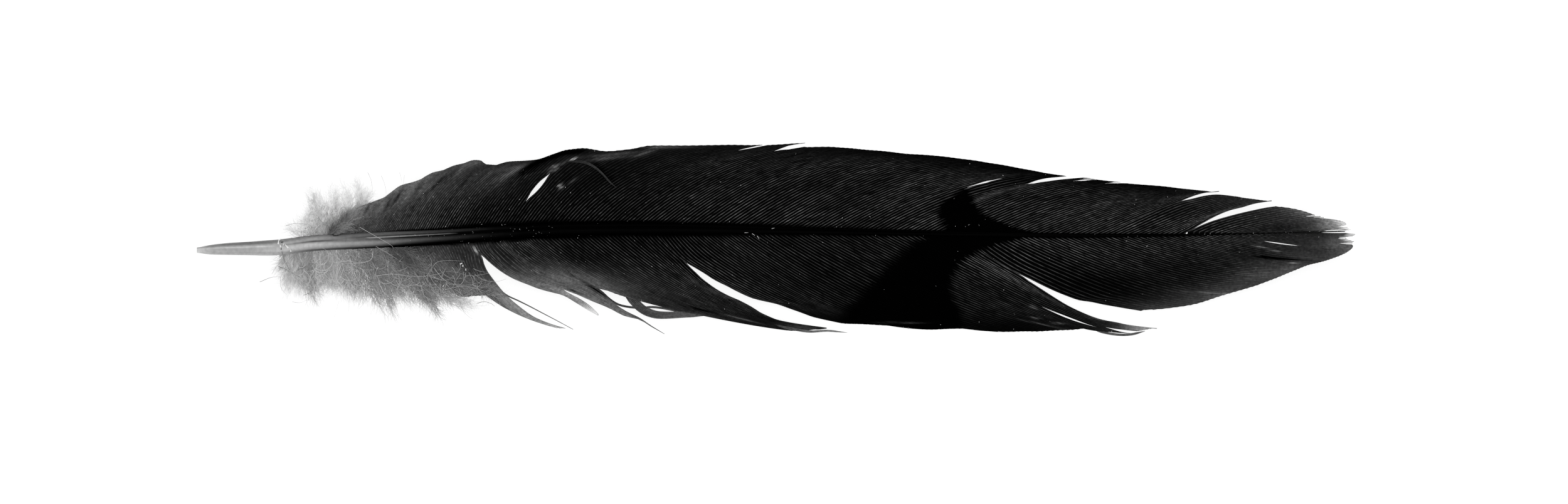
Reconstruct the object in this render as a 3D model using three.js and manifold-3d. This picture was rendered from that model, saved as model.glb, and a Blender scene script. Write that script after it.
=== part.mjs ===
// A turkey's wing feather, lying with its inner side up: one grown piece of quill, shaft, two vanes and down.
// Millimetres. +X runs from the quill's tip to the feather's tip, +Y to the wider-angled vane, +Z up. The origin is
// under the middle of the feather's outline, on the surface that it lies on.

import * as THREE from 'three';
import Module from 'manifold-3d';

const wasm = await Module();
wasm.setup();

// Driving dimensions.

const QUILL_END = -78;
const FEATHER_END = 78;
const VANE_THICKNESS = 0.34;
const RIDGE = 0.07; // how far, at most, every second row of barbs stands over its neighbours
const REST_START = -30; // the shaft's back lies flat on the surface from here ...
const REST_END = 40; // ... to here, and bends up on both sides
const QUILL_LIFT = 3.0;
const TIP_LIFT = 2.2;
const ROOT_STEP = 3.6; // largest distance between rows of barbs along the shaft ...
const TIP_STEP = 4.6; // ... and along the edge
const BARB_PIECES = 8;
const SHAFT_END = 74;
const SHAFT_STEP = 4.6; // distance between the shaft's sections past the quill

const DEGREE = Math.PI / 180;

// The shaft's middle line: place along the feather, sideways place.
const SHAFT_LINE = [
  [-78, -1.6], [-74, -1.45], [-68, -1.3], [-62, -0.65], [-53.5, -0.25], [-45, 0.25], [-36.5, 0.8], [-28, 1.2],
  [-16, 1.3], [-3, 1.1], [14, 0.8], [31, 0.5], [42, 0.35], [56, 0.45], [65, 0.65], [78, 0.9],
];

// The shaft's width and height along the feather.
const SHAFT_SIZE = [
  [-78, 0.7, 0.7], [-77, 1.05, 1.0], [-75.8, 1.35, 1.3], [-73.8, 1.6, 1.5], [-70.7, 1.85, 1.75],
  [-68, 2.1, 2.0], [-61, 2.2, 2.05], [-53.5, 2.25, 2.0], [-45, 1.9, 1.8], [-37, 1.75, 1.65],
  [-11.5, 1.45, 1.4], [5.5, 1.0, 1.1], [14, 0.85, 1.0], [35, 0.68, 0.8], [48, 0.5, 0.6],
  [60, 0.4, 0.5], [74, 0.34, 0.42],
];

// Half of the shaft's section, from its flat back to the lip beside the groove, as shares of its width and height.
const SHAFT_SECTION = [[0.28, 0], [0.44, 0.14], [0.5, 0.42], [0.47, 0.7], [0.36, 0.91], [0.19, 1]];

// Depth of the groove in the shaft's inner side, as a share of its height.
const GROOVE = [[-66, 0], [-60, 0.16], [20, 0.16], [50, 0]];

// The angle at which barbs leave the shaft, and their angle at the vane's edge, in degrees away from the shaft.
const UPPER_ROOT_ANGLE = [
  [-58, 70], [-50, 65], [-38, 58], [-30, 54], [-20, 42], [-10, 37], [0, 32], [20, 29], [31, 25],
  [46, 22], [56, 20], [62, 15], [74, 4],
];
const UPPER_EDGE_ANGLE = [
  [-58, 60], [-50, 35], [-44, 22], [-38, 12], [-25, 16], [-6, 11], [6, 8], [20, 0], [40, -4],
  [60, 1], [70, -8], [78, 0],
];
const LOWER_ROOT_ANGLE = [
  [-52, 66], [-42, 60], [-40, 46], [-30, 42], [-15, 40], [-5, 35], [5, 29], [16, 27], [36, 24],
  [46, 21], [56, 17], [66, 12], [74, 6],
];
const LOWER_EDGE_ANGLE = [
  [-46, 50], [-30, 26], [-16, 22], [-10, 12], [8, 8], [17, 4], [30, 2], [44, 5], [49, 6],
  [52, -3], [60, -10], [66, -7], [75, -3], [78, 2],
];

// Each vane is a row of locks. A barb is its root's place along the shaft, its tip, and how far it bows out from the
// shaft; the barbs between are spread evenly. split is the share of the barb's length at which a lock parts from
// the one before it.
const UPPER_LOCKS = [
  {
    split: 0,
    barbs: [
      [-58.4, -57.8, 2.0, 0], [-57.2, -55.9, 4.3, 0], [-55.5, -52.7, 5.7, 0], [-53.8, -49.5, 7.7, 0],
      [-51.2, -44.6, 9.3, 0], [-50, -42.3, 10.2, 0], [-48.9, -40.2, 10.5, 0], [-47, -37.9, 9.8, 0],
      [-41.9, -32.2, 10.5, 0], [-36.8, -25.8, 12.1, 0], [-34.3, -22.4, 11.8, 0], [-31.8, -16.5, 12.6, 0],
      [-26.7, -5.9, 12.5, 0], [-23.7, -1.7, 12.6, 0],
    ],
  },
  { split: 0.86, barbs: [[-23.4, 0, 12.3, 0], [-19.9, 4.2, 13.0, 0.1]] },
  {
    split: 0.9,
    barbs: [
      [-19.6, 3.6, 12.2, 0], [-16.5, 8, 12.3, 0], [-11.4, 13.1, 11.9, 0], [-6.4, 18.2, 11.4, 0],
      [-1.3, 24.1, 10.9, 0], [3.8, 30.1, 10.0, 0], [8.9, 35.1, 9.1, 0], [16.1, 39.4, 8.4, 0.1],
    ],
  },
  { split: 0.8, barbs: [[16.5, 40.2, 8.0, 0.1], [20.3, 42.6, 8.2, 0]] },
  { split: 0.92, barbs: [[20.7, 42.9, 8.0, 0], [24.6, 46.3, 7.6, 0]] },
  {
    split: 0.94,
    barbs: [[25, 47.4, 7.4, 0], [29.2, 52.5, 7.0, 0], [34.3, 56.7, 6.5, 0], [43.3, 59.5, 6.3, 0.1]],
  },
  { split: 0.36, barbs: [[43.7, 60.1, 5.9, 0.1], [47.8, 62.7, 5.5, 0.2], [55, 66.7, 5.1, 0.4]] },
  {
    split: 0.06,
    barbs: [
      [55.4, 67.6, 4.2, 0.3], [58.8, 71.1, 3.4, 0.1], [63.1, 74.9, 2.4, 0], [68.2, 77.3, 1.5, 0],
      [73.6, 78, 1.0, 0],
    ],
  },
];
const LOWER_LOCKS = [
  {
    split: 0,
    barbs: [
      [-52.1, -46.1, -5.1, 0], [-48.7, -41.0, -8.4, 0.2], [-45.3, -34.5, -9.8, 0.7], [-41.2, -27.5, -12.3, 1.1],
    ],
  },
  { split: 0.06, barbs: [[-40.8, -24.4, -9.9, 0.8], [-40.2, -23.4, -10.0, 0.8]] },
  { split: 0.62, barbs: [[-39.8, -16.6, -12.2, 0.9], [-38.9, -15.9, -12.0, 0.9]] },
  {
    split: 0.7,
    barbs: [
      [-38.5, -14.8, -10.7, 0.8], [-36.8, -9, -10.6, 0.6], [-33.4, -4.2, -11.5, 0.3], [-30.1, 2.3, -12.5, 0.3],
      [-23.3, 5.9, -12.3, 0.4], [-16.5, 8, -12.2, 0.7],
    ],
  },
  {
    split: 0.16,
    barbs: [
      [-16.1, 8.5, -11.4, 0.2], [-11.4, 15.6, -11.8, 0], [-8, 20, -12.3, 0], [-4, 25.5, -12.2, 0],
      [-1.3, 30.1, -12.6, 0], [3.8, 35.1, -12.6, 0], [8.9, 40.2, -12.3, 0], [11.4, 42.3, -12.0, 0.2],
    ],
  },
  { split: 0.92, barbs: [[11.9, 43.2, -12.6, 0.3], [17.4, 48.7, -13.0, 0.6]] },
  { split: 0.9, barbs: [[17.8, 49.0, -12.5, 0.6], [23.7, 51.2, -12.3, 1.2]] },
  {
    split: 0.34,
    barbs: [
      [24.1, 49.1, -9.9, 0.7], [29.2, 55.5, -9.3, 0.3], [34.3, 60.5, -7.7, 0.1], [39.4, 65.6, -6.2, 0],
      [44.5, 69.4, -4.7, 0], [49.5, 72.4, -3.5, 0], [54.6, 74.9, -2.9, 0], [59.7, 76.8, -1.9, 0],
      [64.8, 77.7, -0.7, 0], [73.4, 78, 0.7, 0],
    ],
  },
];

// How high the middle of the sheet is over the shaft's back at the vanes' edges. At half the sheet's thickness the
// edge lies on the surface.
const EDGE_HEIGHT = [
  [-60, 2.6], [-40, 1.5], [-15, 0.6], [2, 0.5 * VANE_THICKNESS], [36, 0.5 * VANE_THICKNESS], [55, 0.6], [78, 1.6],
];
const CAMBER = 0.5; // how far the vanes' middle bulges up, as a share of the shaft's height
const ATTACH = 0.42; // height of the barbs' roots, as a share of the shaft's height
const ROOT_DEPTH = 0.2; // how far from the shaft's middle line they start, as a share of its width

// Locks of down: root along the shaft, tip, height of the tip, width, sideways bow.
const UPPER_DOWN = [
  [-64.8, -66.5, 0.9, 3.4, 0.8, 0.3], [-63.9, -66.0, 1.9, 3.8, 0.9, 0.5], [-63.1, -63.9, 1.6, 4.2, 1.0, 0.5],
  [-62.2, -62.8, 3.4, 4.6, 1.1, 0.6], [-61.3, -63.3, 7.0, 4.2, 1.1, -0.8], [-60.6, -61.8, 6.6, 5.2, 1.2, -0.7],
  [-60, -60.8, 5.6, 5.6, 1.2, -0.6], [-59.4, -59.5, 6.5, 4.8, 1.2, -0.6], [-58.8, -58.4, 5.9, 5.6, 1.2, -0.5],
  [-58.3, -57.6, 7.7, 4.8, 1.2, -0.6], [-57.8, -56.6, 8.1, 4.4, 1.2, -0.7], [-57.3, -55.6, 8.0, 4.6, 1.2, -0.8],
  [-56.7, -54.8, 6.9, 4.2, 1.1, -0.8], [-55.6, -54.2, 8.6, 3.4, 0.7, -0.6], [-54.4, -52.6, 8.4, 3.0, 0.7, -0.5],
];
const LOWER_DOWN = [
  [-66.9, -67.2, -3.9, 3.2, 0.8, -0.3], [-66.3, -66.5, -5.2, 3.8, 0.9, -0.3], [-65.8, -65.4, -8.2, 3.2, 1.0, -0.6],
  [-65.1, -64.4, -6.4, 4.6, 1.1, -0.5], [-64.3, -63.5, -7.5, 4.2, 1.1, -0.6], [-63.5, -62.7, -9.1, 3.4, 1.2, -0.6],
  [-62.7, -61.6, -9.3, 4.0, 1.2, -0.7], [-61.8, -60.4, -8.0, 4.8, 1.2, -0.6], [-61, -59.4, -8.3, 4.2, 1.2, -0.6],
  [-60.4, -59.7, -12.0, 2.4, 0.6, -0.9], [-59.7, -58.2, -9.9, 3.4, 1.2, -0.7], [-58.8, -57.0, -8.6, 4.4, 1.2, -0.7],
  [-58, -55.5, -9.2, 4.0, 1.2, -0.8], [-57.2, -53.8, -9.9, 3.4, 1.3, -0.9], [-56.3, -51.2, -11.3, 2.8, 1.2, -1.0],
  [-55.5, -49.5, -11.3, 3.2, 1.2, -1.0], [-54.6, -48.0, -10.7, 3.0, 1.3, -1.0], [-53.8, -46.7, -10.6, 3.2, 1.3, -1.0],
  [-52.8, -45.3, -11.3, 2.6, 1.3, -1.0], [-51.7, -44.3, -11.0, 2.8, 1.2, -1.0], [-50.7, -43.4, -10.0, 2.6, 1.2, -0.9],
  [-49.7, -41.5, -8.9, 2.4, 1.1, -0.8],
];

// Smooth interpolation through the rows of a table whose first column rises, without overshoot.
function readTable(rows, x, column = 1) {
  const last = rows.length - 1;
  if (x <= rows[0][0]) return rows[0][column];
  if (x >= rows[last][0]) return rows[last][column];
  const start = rows.findIndex((row) => row[0] > x) - 1;
  const secant = (k) => (rows[k + 1][column] - rows[k][column]) / (rows[k + 1][0] - rows[k][0]);
  const slope = (k) => {
    if (k === 0 || k === last) return 0;
    const before = secant(k - 1);
    const after = secant(k);
    return before * after > 0 ? (2 * before * after) / (before + after) : 0;
  };
  const step = rows[start + 1][0] - rows[start][0];
  const t = (x - rows[start][0]) / step;
  const low = rows[start][column] * (1 + 2 * t) + slope(start) * step * t;
  const high = rows[start + 1][column] * (3 - 2 * t) - slope(start + 1) * step * (1 - t);
  return low * (1 - t) ** 2 + high * t ** 2;
}

// Height of the shaft's back over the surface.
function backHeight(x) {
  const quillBend = Math.max(0, REST_START - x) / (REST_START - QUILL_END);
  const tipBend = Math.max(0, x - REST_END) / (FEATHER_END - REST_END);
  return QUILL_LIFT * quillBend ** 2 + TIP_LIFT * tipBend ** 2;
}

const shaftSide = (x) => readTable(SHAFT_LINE, x);
const shaftWidth = (x) => readTable(SHAFT_SIZE, x, 1);
const shaftHeight = (x) => readTable(SHAFT_SIZE, x, 2);

// A solid from points and triangles, turned so that its faces point out.
function solidFrom(points, triangles) {
  let volume = 0;
  for (const [a, b, c] of triangles) {
    volume += points[a].dot(new THREE.Vector3().crossVectors(points[b], points[c]));
  }
  const faces = volume > 0 ? triangles : triangles.map(([a, b, c]) => [a, c, b]);
  const vertProperties = new Float32Array(points.flatMap((point) => point.toArray()));
  const mesh = new wasm.Mesh({ numProp: 3, vertProperties, triVerts: new Uint32Array(faces.flat()) });
  return new wasm.Manifold(mesh);
}

// A closed solid through rings with equal numbers of points.
function loft(rings) {
  const count = rings[0].length;
  const points = rings.flat();
  const triangles = [];
  for (let ring = 0; ring < rings.length - 1; ring += 1) {
    for (let k = 0; k < count; k += 1) {
      const a = ring * count + k;
      const b = ring * count + ((k + 1) % count);
      triangles.push([a, b, b + count], [a, b + count, a + count]);
    }
  }
  const end = (rings.length - 1) * count;
  for (let k = 1; k < count - 1; k += 1) {
    triangles.push([0, k + 1, k], [end, end + k, end + k + 1]);
  }
  return solidFrom(points, triangles);
}

// One section of the shaft: a flat back, round sides, and a groove between two lips on its inner side.
function shaftRing(x) {
  const mirrored = SHAFT_SECTION.map(([across, up]) => [-across, up]).reverse();
  const ring = [...SHAFT_SECTION, [0, 1 - readTable(GROOVE, x)], ...mirrored];
  return ring.map(([across, up]) => (
    new THREE.Vector3(x, shaftSide(x) + across * shaftWidth(x), backHeight(x) + up * shaftHeight(x))
  ));
}

function makeShaft() {
  const stations = SHAFT_SIZE.slice(0, 6).map((row) => row[0]);
  for (let x = -64; x <= SHAFT_END; x += SHAFT_STEP) stations.push(x);
  return loft(stations.map(shaftRing));
}

// A barb's place in plan at a share of its length, on a curve that leaves the shaft and reaches the edge at the
// given angles, and bows out most at two thirds of its length.
function barbPoint(barb, share) {
  const { root, tip, bow, rootAngle, edgeAngle } = barb;
  const leave = new THREE.Vector2(Math.cos(rootAngle), Math.sin(rootAngle));
  const arrive = new THREE.Vector2(Math.cos(edgeAngle), Math.sin(edgeAngle));
  const span = tip.clone().sub(root);
  const reach = span.cross(arrive) / leave.cross(arrive);
  const hold = THREE.MathUtils.clamp(reach, 0.3 * span.length(), 0.7 * span.length());
  const bend = root.clone().addScaledVector(leave, hold);
  const outwards = new THREE.Vector2(-span.y, span.x).normalize();
  return root.clone().multiplyScalar((1 - share) ** 2)
    .addScaledVector(bend, 2 * share * (1 - share))
    .addScaledVector(tip, share ** 2)
    .addScaledVector(outwards, bow * 6.75 * share ** 2 * (1 - share));
}

// The height of a vane's middle surface at a share of a barb's length.
function vaneHeight(rootX, place, share) {
  const start = backHeight(rootX) + ATTACH * shaftHeight(rootX);
  const edge = backHeight(place.x) + readTable(EDGE_HEIGHT, place.x);
  return start * (1 - share) + edge * share + CAMBER * 4 * share * (1 - share) * shaftHeight(rootX);
}

// Rows of barbs for a vane, in order from the quill: each knows where the gap to the row before it begins.
function barbRows(locks, side, rootTable, edgeTable) {
  const rows = [];
  for (const { split, barbs } of locks) {
    const first = barbs[0][0];
    const last = barbs[barbs.length - 1][0];
    const edge = barbs[barbs.length - 1][1] - barbs[0][1];
    const count = Math.max(1, Math.round(Math.max((last - first) / ROOT_STEP, edge / TIP_STEP)));
    for (let k = 0; k <= count; k += 1) {
      const rootX = first + ((last - first) * k) / count;
      const tip = new THREE.Vector2(readTable(barbs, rootX, 1), readTable(barbs, rootX, 2));
      rows.push({
        root: new THREE.Vector2(rootX, shaftSide(rootX) + side * ROOT_DEPTH * shaftWidth(rootX)),
        tip,
        bow: side * readTable(barbs, rootX, 3),
        rootAngle: side * readTable(rootTable, rootX) * DEGREE,
        edgeAngle: side * readTable(edgeTable, tip.x) * DEGREE,
        filled: k > 0 || split === 0 ? 1 : split,
      });
    }
  }
  return rows;
}

// A vane: a thin sheet over the rows of barbs, open where its locks part.
function makeVane(rows) {
  const columns = BARB_PIECES + 1;
  const middle = rows.flatMap((barb, row) => {
    const ridge = (row % 2 ? 0.5 : -0.5) * RIDGE;
    return Array.from({ length: columns }, (_, k) => {
      const share = k / BARB_PIECES;
      const place = barbPoint(barb, share);
      const stand = ridge * 4 * share * (1 - share);
      return new THREE.Vector3(place.x, place.y, vaneHeight(barb.root.x, place, share) + stand);
    });
  });
  const top = [];
  for (let row = 1; row < rows.length; row += 1) {
    const filled = Math.max(1, Math.round(rows[row].filled * BARB_PIECES));
    for (let k = 0; k < filled; k += 1) {
      const a = (row - 1) * columns + k;
      const b = row * columns + k;
      top.push([a, a + 1, b + 1], [a, b + 1, b]);
    }
  }
  const below = middle.length;
  const bottom = top.map(([a, b, c]) => [a + below, c + below, b + below]);
  const edges = new Set(top.flatMap(([a, b, c]) => [`${a},${b}`, `${b},${c}`, `${c},${a}`]));
  const walls = [...edges].map((edge) => edge.split(',').map(Number))
    .filter(([a, b]) => !edges.has(`${b},${a}`))
    .flatMap(([a, b]) => [[b, a, a + below], [b, a + below, b + below]]);
  const half = new THREE.Vector3(0, 0, VANE_THICKNESS / 2);
  const points = [...middle.map((p) => p.clone().add(half)), ...middle.map((p) => p.clone().sub(half))];
  return solidFrom(points, [...top, ...bottom, ...walls]);
}

// A lock of down: a bowed, flattened spindle from inside the shaft to its tip.
function makeDownLock([rootX, tipX, tipY, tipZ, width, bow]) {
  const root = new THREE.Vector3(rootX, shaftSide(rootX), backHeight(rootX) + 0.5 * shaftHeight(rootX));
  const tip = new THREE.Vector3(tipX, tipY, tipZ);
  const span = tip.clone().sub(root);
  const across = new THREE.Vector3(-span.y, span.x, 0).normalize();
  const bend = root.clone().lerp(tip, 0.5).addScaledVector(across, bow).add(new THREE.Vector3(0, 0, 0.8));
  const line = new THREE.QuadraticBezierCurve3(root, bend, tip);
  const shares = [0, 0.22, 0.48, 0.75, 1];
  const thickness = [0.45, 0.8, 1, 0.75, 0.18];
  const sides = 6;
  return loft(shares.map((share, ring) => {
    const forward = line.getTangent(share);
    const sideways = new THREE.Vector3(-forward.y, forward.x, 0).normalize();
    const up = new THREE.Vector3().crossVectors(forward, sideways);
    return Array.from({ length: sides }, (_, k) => {
      const turn = (2 * Math.PI * k) / sides;
      return line.getPoint(share)
        .addScaledVector(sideways, 0.5 * width * thickness[ring] * Math.cos(turn))
        .addScaledVector(up, 0.32 * width * thickness[ring] * Math.sin(turn));
    });
  }));
}

// The solid's outer shape, with any pocket that is closed all round filled.
function withoutPockets(solid) {
  return solid.decompose().reduce((best, part) => (part.volume() > best.volume() ? part : best));
}

function geometryOf(solid) {
  const { vertProperties, triVerts } = solid.getMesh();
  const geometry = new THREE.BufferGeometry();
  geometry.setAttribute('position', new THREE.BufferAttribute(new Float32Array(vertProperties), 3));
  geometry.setIndex(new THREE.BufferAttribute(new Uint32Array(triVerts), 1));
  geometry.computeVertexNormals();
  return geometry;
}

const pieces = [
  makeShaft(),
  makeVane(barbRows(UPPER_LOCKS, 1, UPPER_ROOT_ANGLE, UPPER_EDGE_ANGLE)),
  makeVane(barbRows(LOWER_LOCKS, -1, LOWER_ROOT_ANGLE, LOWER_EDGE_ANGLE)),
  ...UPPER_DOWN.map(makeDownLock),
  ...LOWER_DOWN.map(makeDownLock),
];
const feather = new THREE.Mesh(
  geometryOf(withoutPockets(wasm.Manifold.union(pieces))),
  new THREE.MeshStandardMaterial({ color: 0x24211f, roughness: 0.7, metalness: 0 }),
);
feather.name = 'feather';

const group = new THREE.Group();
group.add(feather);
export default group;
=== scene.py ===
"""The looks of a turkey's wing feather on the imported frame.

Lengths are millimetres, in the frame of the CAD part, until a mesh is made. Tones are grey values as seen,
0 to 255. Where a table gives values along the feather, its first column is the place along it.
"""

import math

import bpy
import numpy as np
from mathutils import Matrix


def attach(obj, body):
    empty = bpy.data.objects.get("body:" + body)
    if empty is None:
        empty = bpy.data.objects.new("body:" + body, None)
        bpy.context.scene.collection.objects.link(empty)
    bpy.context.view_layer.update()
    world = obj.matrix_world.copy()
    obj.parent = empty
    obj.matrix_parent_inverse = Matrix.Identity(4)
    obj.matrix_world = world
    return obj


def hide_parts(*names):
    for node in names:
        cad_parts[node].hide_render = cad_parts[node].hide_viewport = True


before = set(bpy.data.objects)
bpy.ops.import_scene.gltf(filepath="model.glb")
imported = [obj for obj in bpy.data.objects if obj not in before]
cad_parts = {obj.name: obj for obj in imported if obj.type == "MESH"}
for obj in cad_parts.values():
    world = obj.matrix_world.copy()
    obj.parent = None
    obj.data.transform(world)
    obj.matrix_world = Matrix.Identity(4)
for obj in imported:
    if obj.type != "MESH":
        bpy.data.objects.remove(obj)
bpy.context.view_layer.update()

MM = 0.001
SCENE_SEED = 7
RIBBON_SEED = SCENE_SEED + 11
DUST_SEED = SCENE_SEED + 50
CURL_SEED = SCENE_SEED + 60


def add_object(name, data):
    thing = bpy.data.objects.new(name, data)
    bpy.context.scene.collection.objects.link(thing)
    return thing


def set_inputs(node, values):
    for name, value in values.items():
        node.inputs[name].default_value = value


# ---------------------------------------------------------------- camera

PICTURE_WIDTH = 2500
SCAN_PITCH = 25.4 / 300  # millimetres a pixel
CAMERA_PLACE = (1.27, -1.86, 400.0)
VIEW_END = 10.0  # metres


def make_camera():
    camera = bpy.data.cameras.new("camera")
    camera.type = "ORTHO"
    camera.ortho_scale = PICTURE_WIDTH * SCAN_PITCH * MM
    camera.clip_end = VIEW_END
    holder = add_object("camera", camera)
    holder.location = [value * MM for value in CAMERA_PLACE]
    bpy.context.scene.camera = holder


make_camera()

# ---------------------------------------------------------------- the feather's form, as in the CAD part

QUILL_END = -78
FEATHER_END = 78
REST_START = -30
REST_END = 40
QUILL_LIFT = 3.0
TIP_LIFT = 2.2

SHAFT_LINE = [
    [-78, -1.6], [-74, -1.45], [-68, -1.3], [-62, -0.65], [-53.5, -0.25], [-45, 0.25], [-36.5, 0.8],
    [-28, 1.2], [-16, 1.3], [-3, 1.1], [14, 0.8], [31, 0.5], [42, 0.35], [56, 0.45], [65, 0.65], [78, 0.9],
]
# Place along the feather, width, height.
SHAFT_SIZE = [
    [-78, 0.7, 0.7], [-77, 1.05, 1.0], [-75.8, 1.35, 1.3], [-73.8, 1.6, 1.5], [-70.7, 1.85, 1.75],
    [-68, 2.1, 2.0], [-61, 2.2, 2.05], [-53.5, 2.25, 2.0], [-45, 1.9, 1.8], [-37, 1.75, 1.65],
    [-11.5, 1.45, 1.4], [5.5, 1.0, 1.1], [14, 0.85, 1.0], [35, 0.68, 0.8], [48, 0.5, 0.6],
    [60, 0.4, 0.5], [74, 0.34, 0.42],
]

UPPER_ROOT_ANGLE = [
    [-60, 40], [-58.5, 50], [-56, 60], [-50, 64], [-38, 58], [-30, 54], [-20, 42], [-10, 37], [0, 32],
    [20, 29], [31, 25], [46, 22], [56, 20], [62, 15], [74, 4],
]
UPPER_EDGE_ANGLE = [
    [-57, 50], [-54, 38], [-50, 34], [-44, 22], [-38, 12], [-25, 16], [-6, 11], [6, 8], [20, 0], [40, -4],
    [60, 1], [70, -8], [78, 0],
]
LOWER_ROOT_ANGLE = [
    [-52, 66], [-42, 60], [-40, 46], [-30, 42], [-15, 40], [-5, 35], [5, 29], [16, 27], [36, 24],
    [46, 21], [56, 17], [66, 12], [74, 6],
]
LOWER_EDGE_ANGLE = [
    [-46, 50], [-30, 26], [-16, 22], [-10, 12], [8, 8], [17, 4], [30, 2], [44, 5], [49, 6],
    [52, -3], [60, -10], [66, -7], [75, -3], [78, 2],
]

# Locks of each vane. A barb is its root's place along the shaft, its tip, and how far it bows out.
UPPER_LOCKS = [
    [
        [-60.0, -57.0, 3.5, 0], [-59.5, -56.0, 4.3, 0], [-58.9, -54.6, 4.8, 0], [-58.0, -52.8, 5.45, 0],
        [-57.2, -51.6, 6.35, 0], [-56.4, -50.4, 7.2, 0], [-55.4, -48.7, 7.65, 0], [-54.5, -47.4, 8.15, 0],
        [-53.6, -46.1, 8.9, 0], [-52.7, -44.5, 9.3, 0], [-51.7, -43.2, 9.85, 0], [-50.8, -41.9, 10.15, 0],
        [-49.8, -40.6, 10.6, 0], [-49.0, -39.7, 10.5, 0], [-48.2, -38.9, 9.95, 0], [-47.0, -37.6, 9.9, 0],
        [-45.6, -36.1, 10.3, 0], [-41.9, -32.2, 10.6, 0], [-39.5, -29.8, 11.4, 0], [-37.6, -27.6, 12.0, 0],
        [-36.5, -26.0, 12.15, 0], [-35.4, -24.4, 11.95, 0], [-34.4, -22.7, 11.75, 0], [-33.2, -19.6, 12.0, 0],
        [-31.8, -16.7, 12.5, 0], [-26.7, -5.9, 12.55, 0], [-23.7, -1.7, 12.6, 0],
    ],
    [[-23.4, -0.9, 12.5, 0], [-19.9, 4.2, 13.0, 0.1]],
    [
        [-19.6, 3.6, 12.2, 0], [-16.5, 8, 12.3, 0], [-11.4, 13.1, 11.9, 0], [-6.4, 18.2, 11.4, 0],
        [-1.3, 24.1, 10.9, 0], [3.8, 30.1, 10.0, 0], [8.9, 35.1, 9.1, 0], [16.1, 39.4, 8.4, 0.1],
    ],
    [[16.5, 40.2, 8.0, 0.1], [20.3, 42.6, 8.2, 0]],
    [[20.7, 42.9, 8.0, 0], [24.6, 46.3, 7.6, 0]],
    [[25, 47.4, 7.4, 0], [29.2, 52.5, 7.0, 0], [34.3, 56.7, 6.5, 0], [43.3, 59.5, 6.3, 0.1]],
    [[43.7, 60.1, 5.9, 0.1], [47.8, 62.7, 5.5, 0.2], [55, 66.7, 5.1, 0.4]],
    [
        [55.4, 67.6, 4.2, 0.3], [58.8, 71.3, 3.6, 0.1], [61.2, 73.2, 3.0, 0], [63.1, 75.2, 2.65, 0],
        [68.2, 77.3, 1.5, 0], [73.6, 78, 1.0, 0],
    ],
]
LOWER_LOCKS = [
    [
        [-52.1, -46.1, -5.1, 0], [-48.7, -41.9, -8.0, 0.2], [-47.5, -40.2, -7.8, 0.4],
        [-46.4, -38.5, -7.7, 0.3], [-45.6, -37.2, -8.4, 0.3], [-44.8, -35.4, -9.6, 0.35],
        [-43.5, -33.0, -10.7, 0.5], [-42.2, -30.1, -11.6, 0.7], [-41.2, -28.0, -12.1, 0.9],
    ],
    [[-40.8, -23.8, -10.4, 0.8], [-39.5, -23.7, -10.3, 0.8]],
    [[-39.3, -14.9, -12.9, 0.9], [-37.2, -14.8, -12.8, 0.9]],
    [
        [-37.0, -11.9, -10.1, 0.4], [-35.8, -8.4, -10.6, 0.4], [-33.2, -4.2, -11.4, 0.3],
        [-30.1, 2.3, -12.5, 0.3], [-23.3, 5.9, -12.3, 0.4], [-16.5, 8, -12.2, 0.7],
    ],
    [
        [-16.1, 8.5, -11.4, 0.2], [-11.4, 15.6, -11.8, 0], [-8, 20, -12.3, 0], [-4, 25.5, -12.2, 0],
        [-1.3, 30.1, -12.6, 0], [3.8, 35.1, -12.6, 0], [8.9, 40.2, -12.3, 0], [11.4, 42.3, -12.0, 0.2],
    ],
    [[11.9, 43.2, -12.6, 0.3], [17.4, 48.7, -13.0, 0.6]],
    [[17.8, 49.0, -12.5, 0.6], [23.7, 51.2, -12.3, 1.2]],
    [
        [24.1, 49.1, -9.9, 0.7], [29.2, 55.5, -9.3, 0.3], [34.3, 60.5, -7.7, 0.1], [39.4, 65.6, -6.2, 0],
        [44.5, 69.4, -4.7, 0], [49.5, 72.4, -3.5, 0], [54.6, 74.9, -2.9, 0], [59.7, 77.4, -1.8, 0],
        [64.8, 78.1, -1.0, 0], [73.4, 78, 0.7, 0],
    ],
]

# The share of the barbs' length at which each lock parts from the one before it.
UPPER_SPLITS = (0, 0.9, 0.9, 0.8, 0.92, 0.94, 0.7, 0.02)
LOWER_SPLITS = (0, 0.06, 0.62, 0.66, 0.1, 0.92, 0.9, 0.28)

# Height of a vane's edge over the shaft's back; how far a vane is vaulted and how high it starts, as shares
# of the shaft's height; and how far from the shaft's middle line it starts, as a share of the shaft's width.
EDGE_HEIGHT = [[-60, 2.6], [-40, 1.5], [-15, 0.6], [2, 0.17], [36, 0.17], [55, 0.6], [78, 1.6]]
CAMBER = 0.5
ATTACH = 0.42
ROOT_DEPTH = 0.2

# ---------------------------------------------------------------- sums on the form


def read_table(rows, x, column=1):
    """Smooth interpolation through the rows of a table whose first column rises, without overshoot."""
    table = np.array(rows, float)
    places = table[:, 0]
    values = table[:, column]
    secant = np.diff(values) / np.diff(places)
    product = secant[:-1] * secant[1:]
    total = np.where(product > 0, secant[:-1] + secant[1:], 1.0)
    slope = np.zeros(len(values))
    slope[1:-1] = np.where(product > 0, 2 * product / total, 0.0)
    x = np.clip(x, places[0], places[-1])
    start = np.clip(np.searchsorted(places, x, side="right") - 1, 0, len(places) - 2)
    step = places[start + 1] - places[start]
    t = (x - places[start]) / step
    low = values[start] * (1 + 2 * t) + slope[start] * step * t
    high = values[start + 1] * (3 - 2 * t) - slope[start + 1] * step * (1 - t)
    return low * (1 - t) ** 2 + high * t**2


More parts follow.
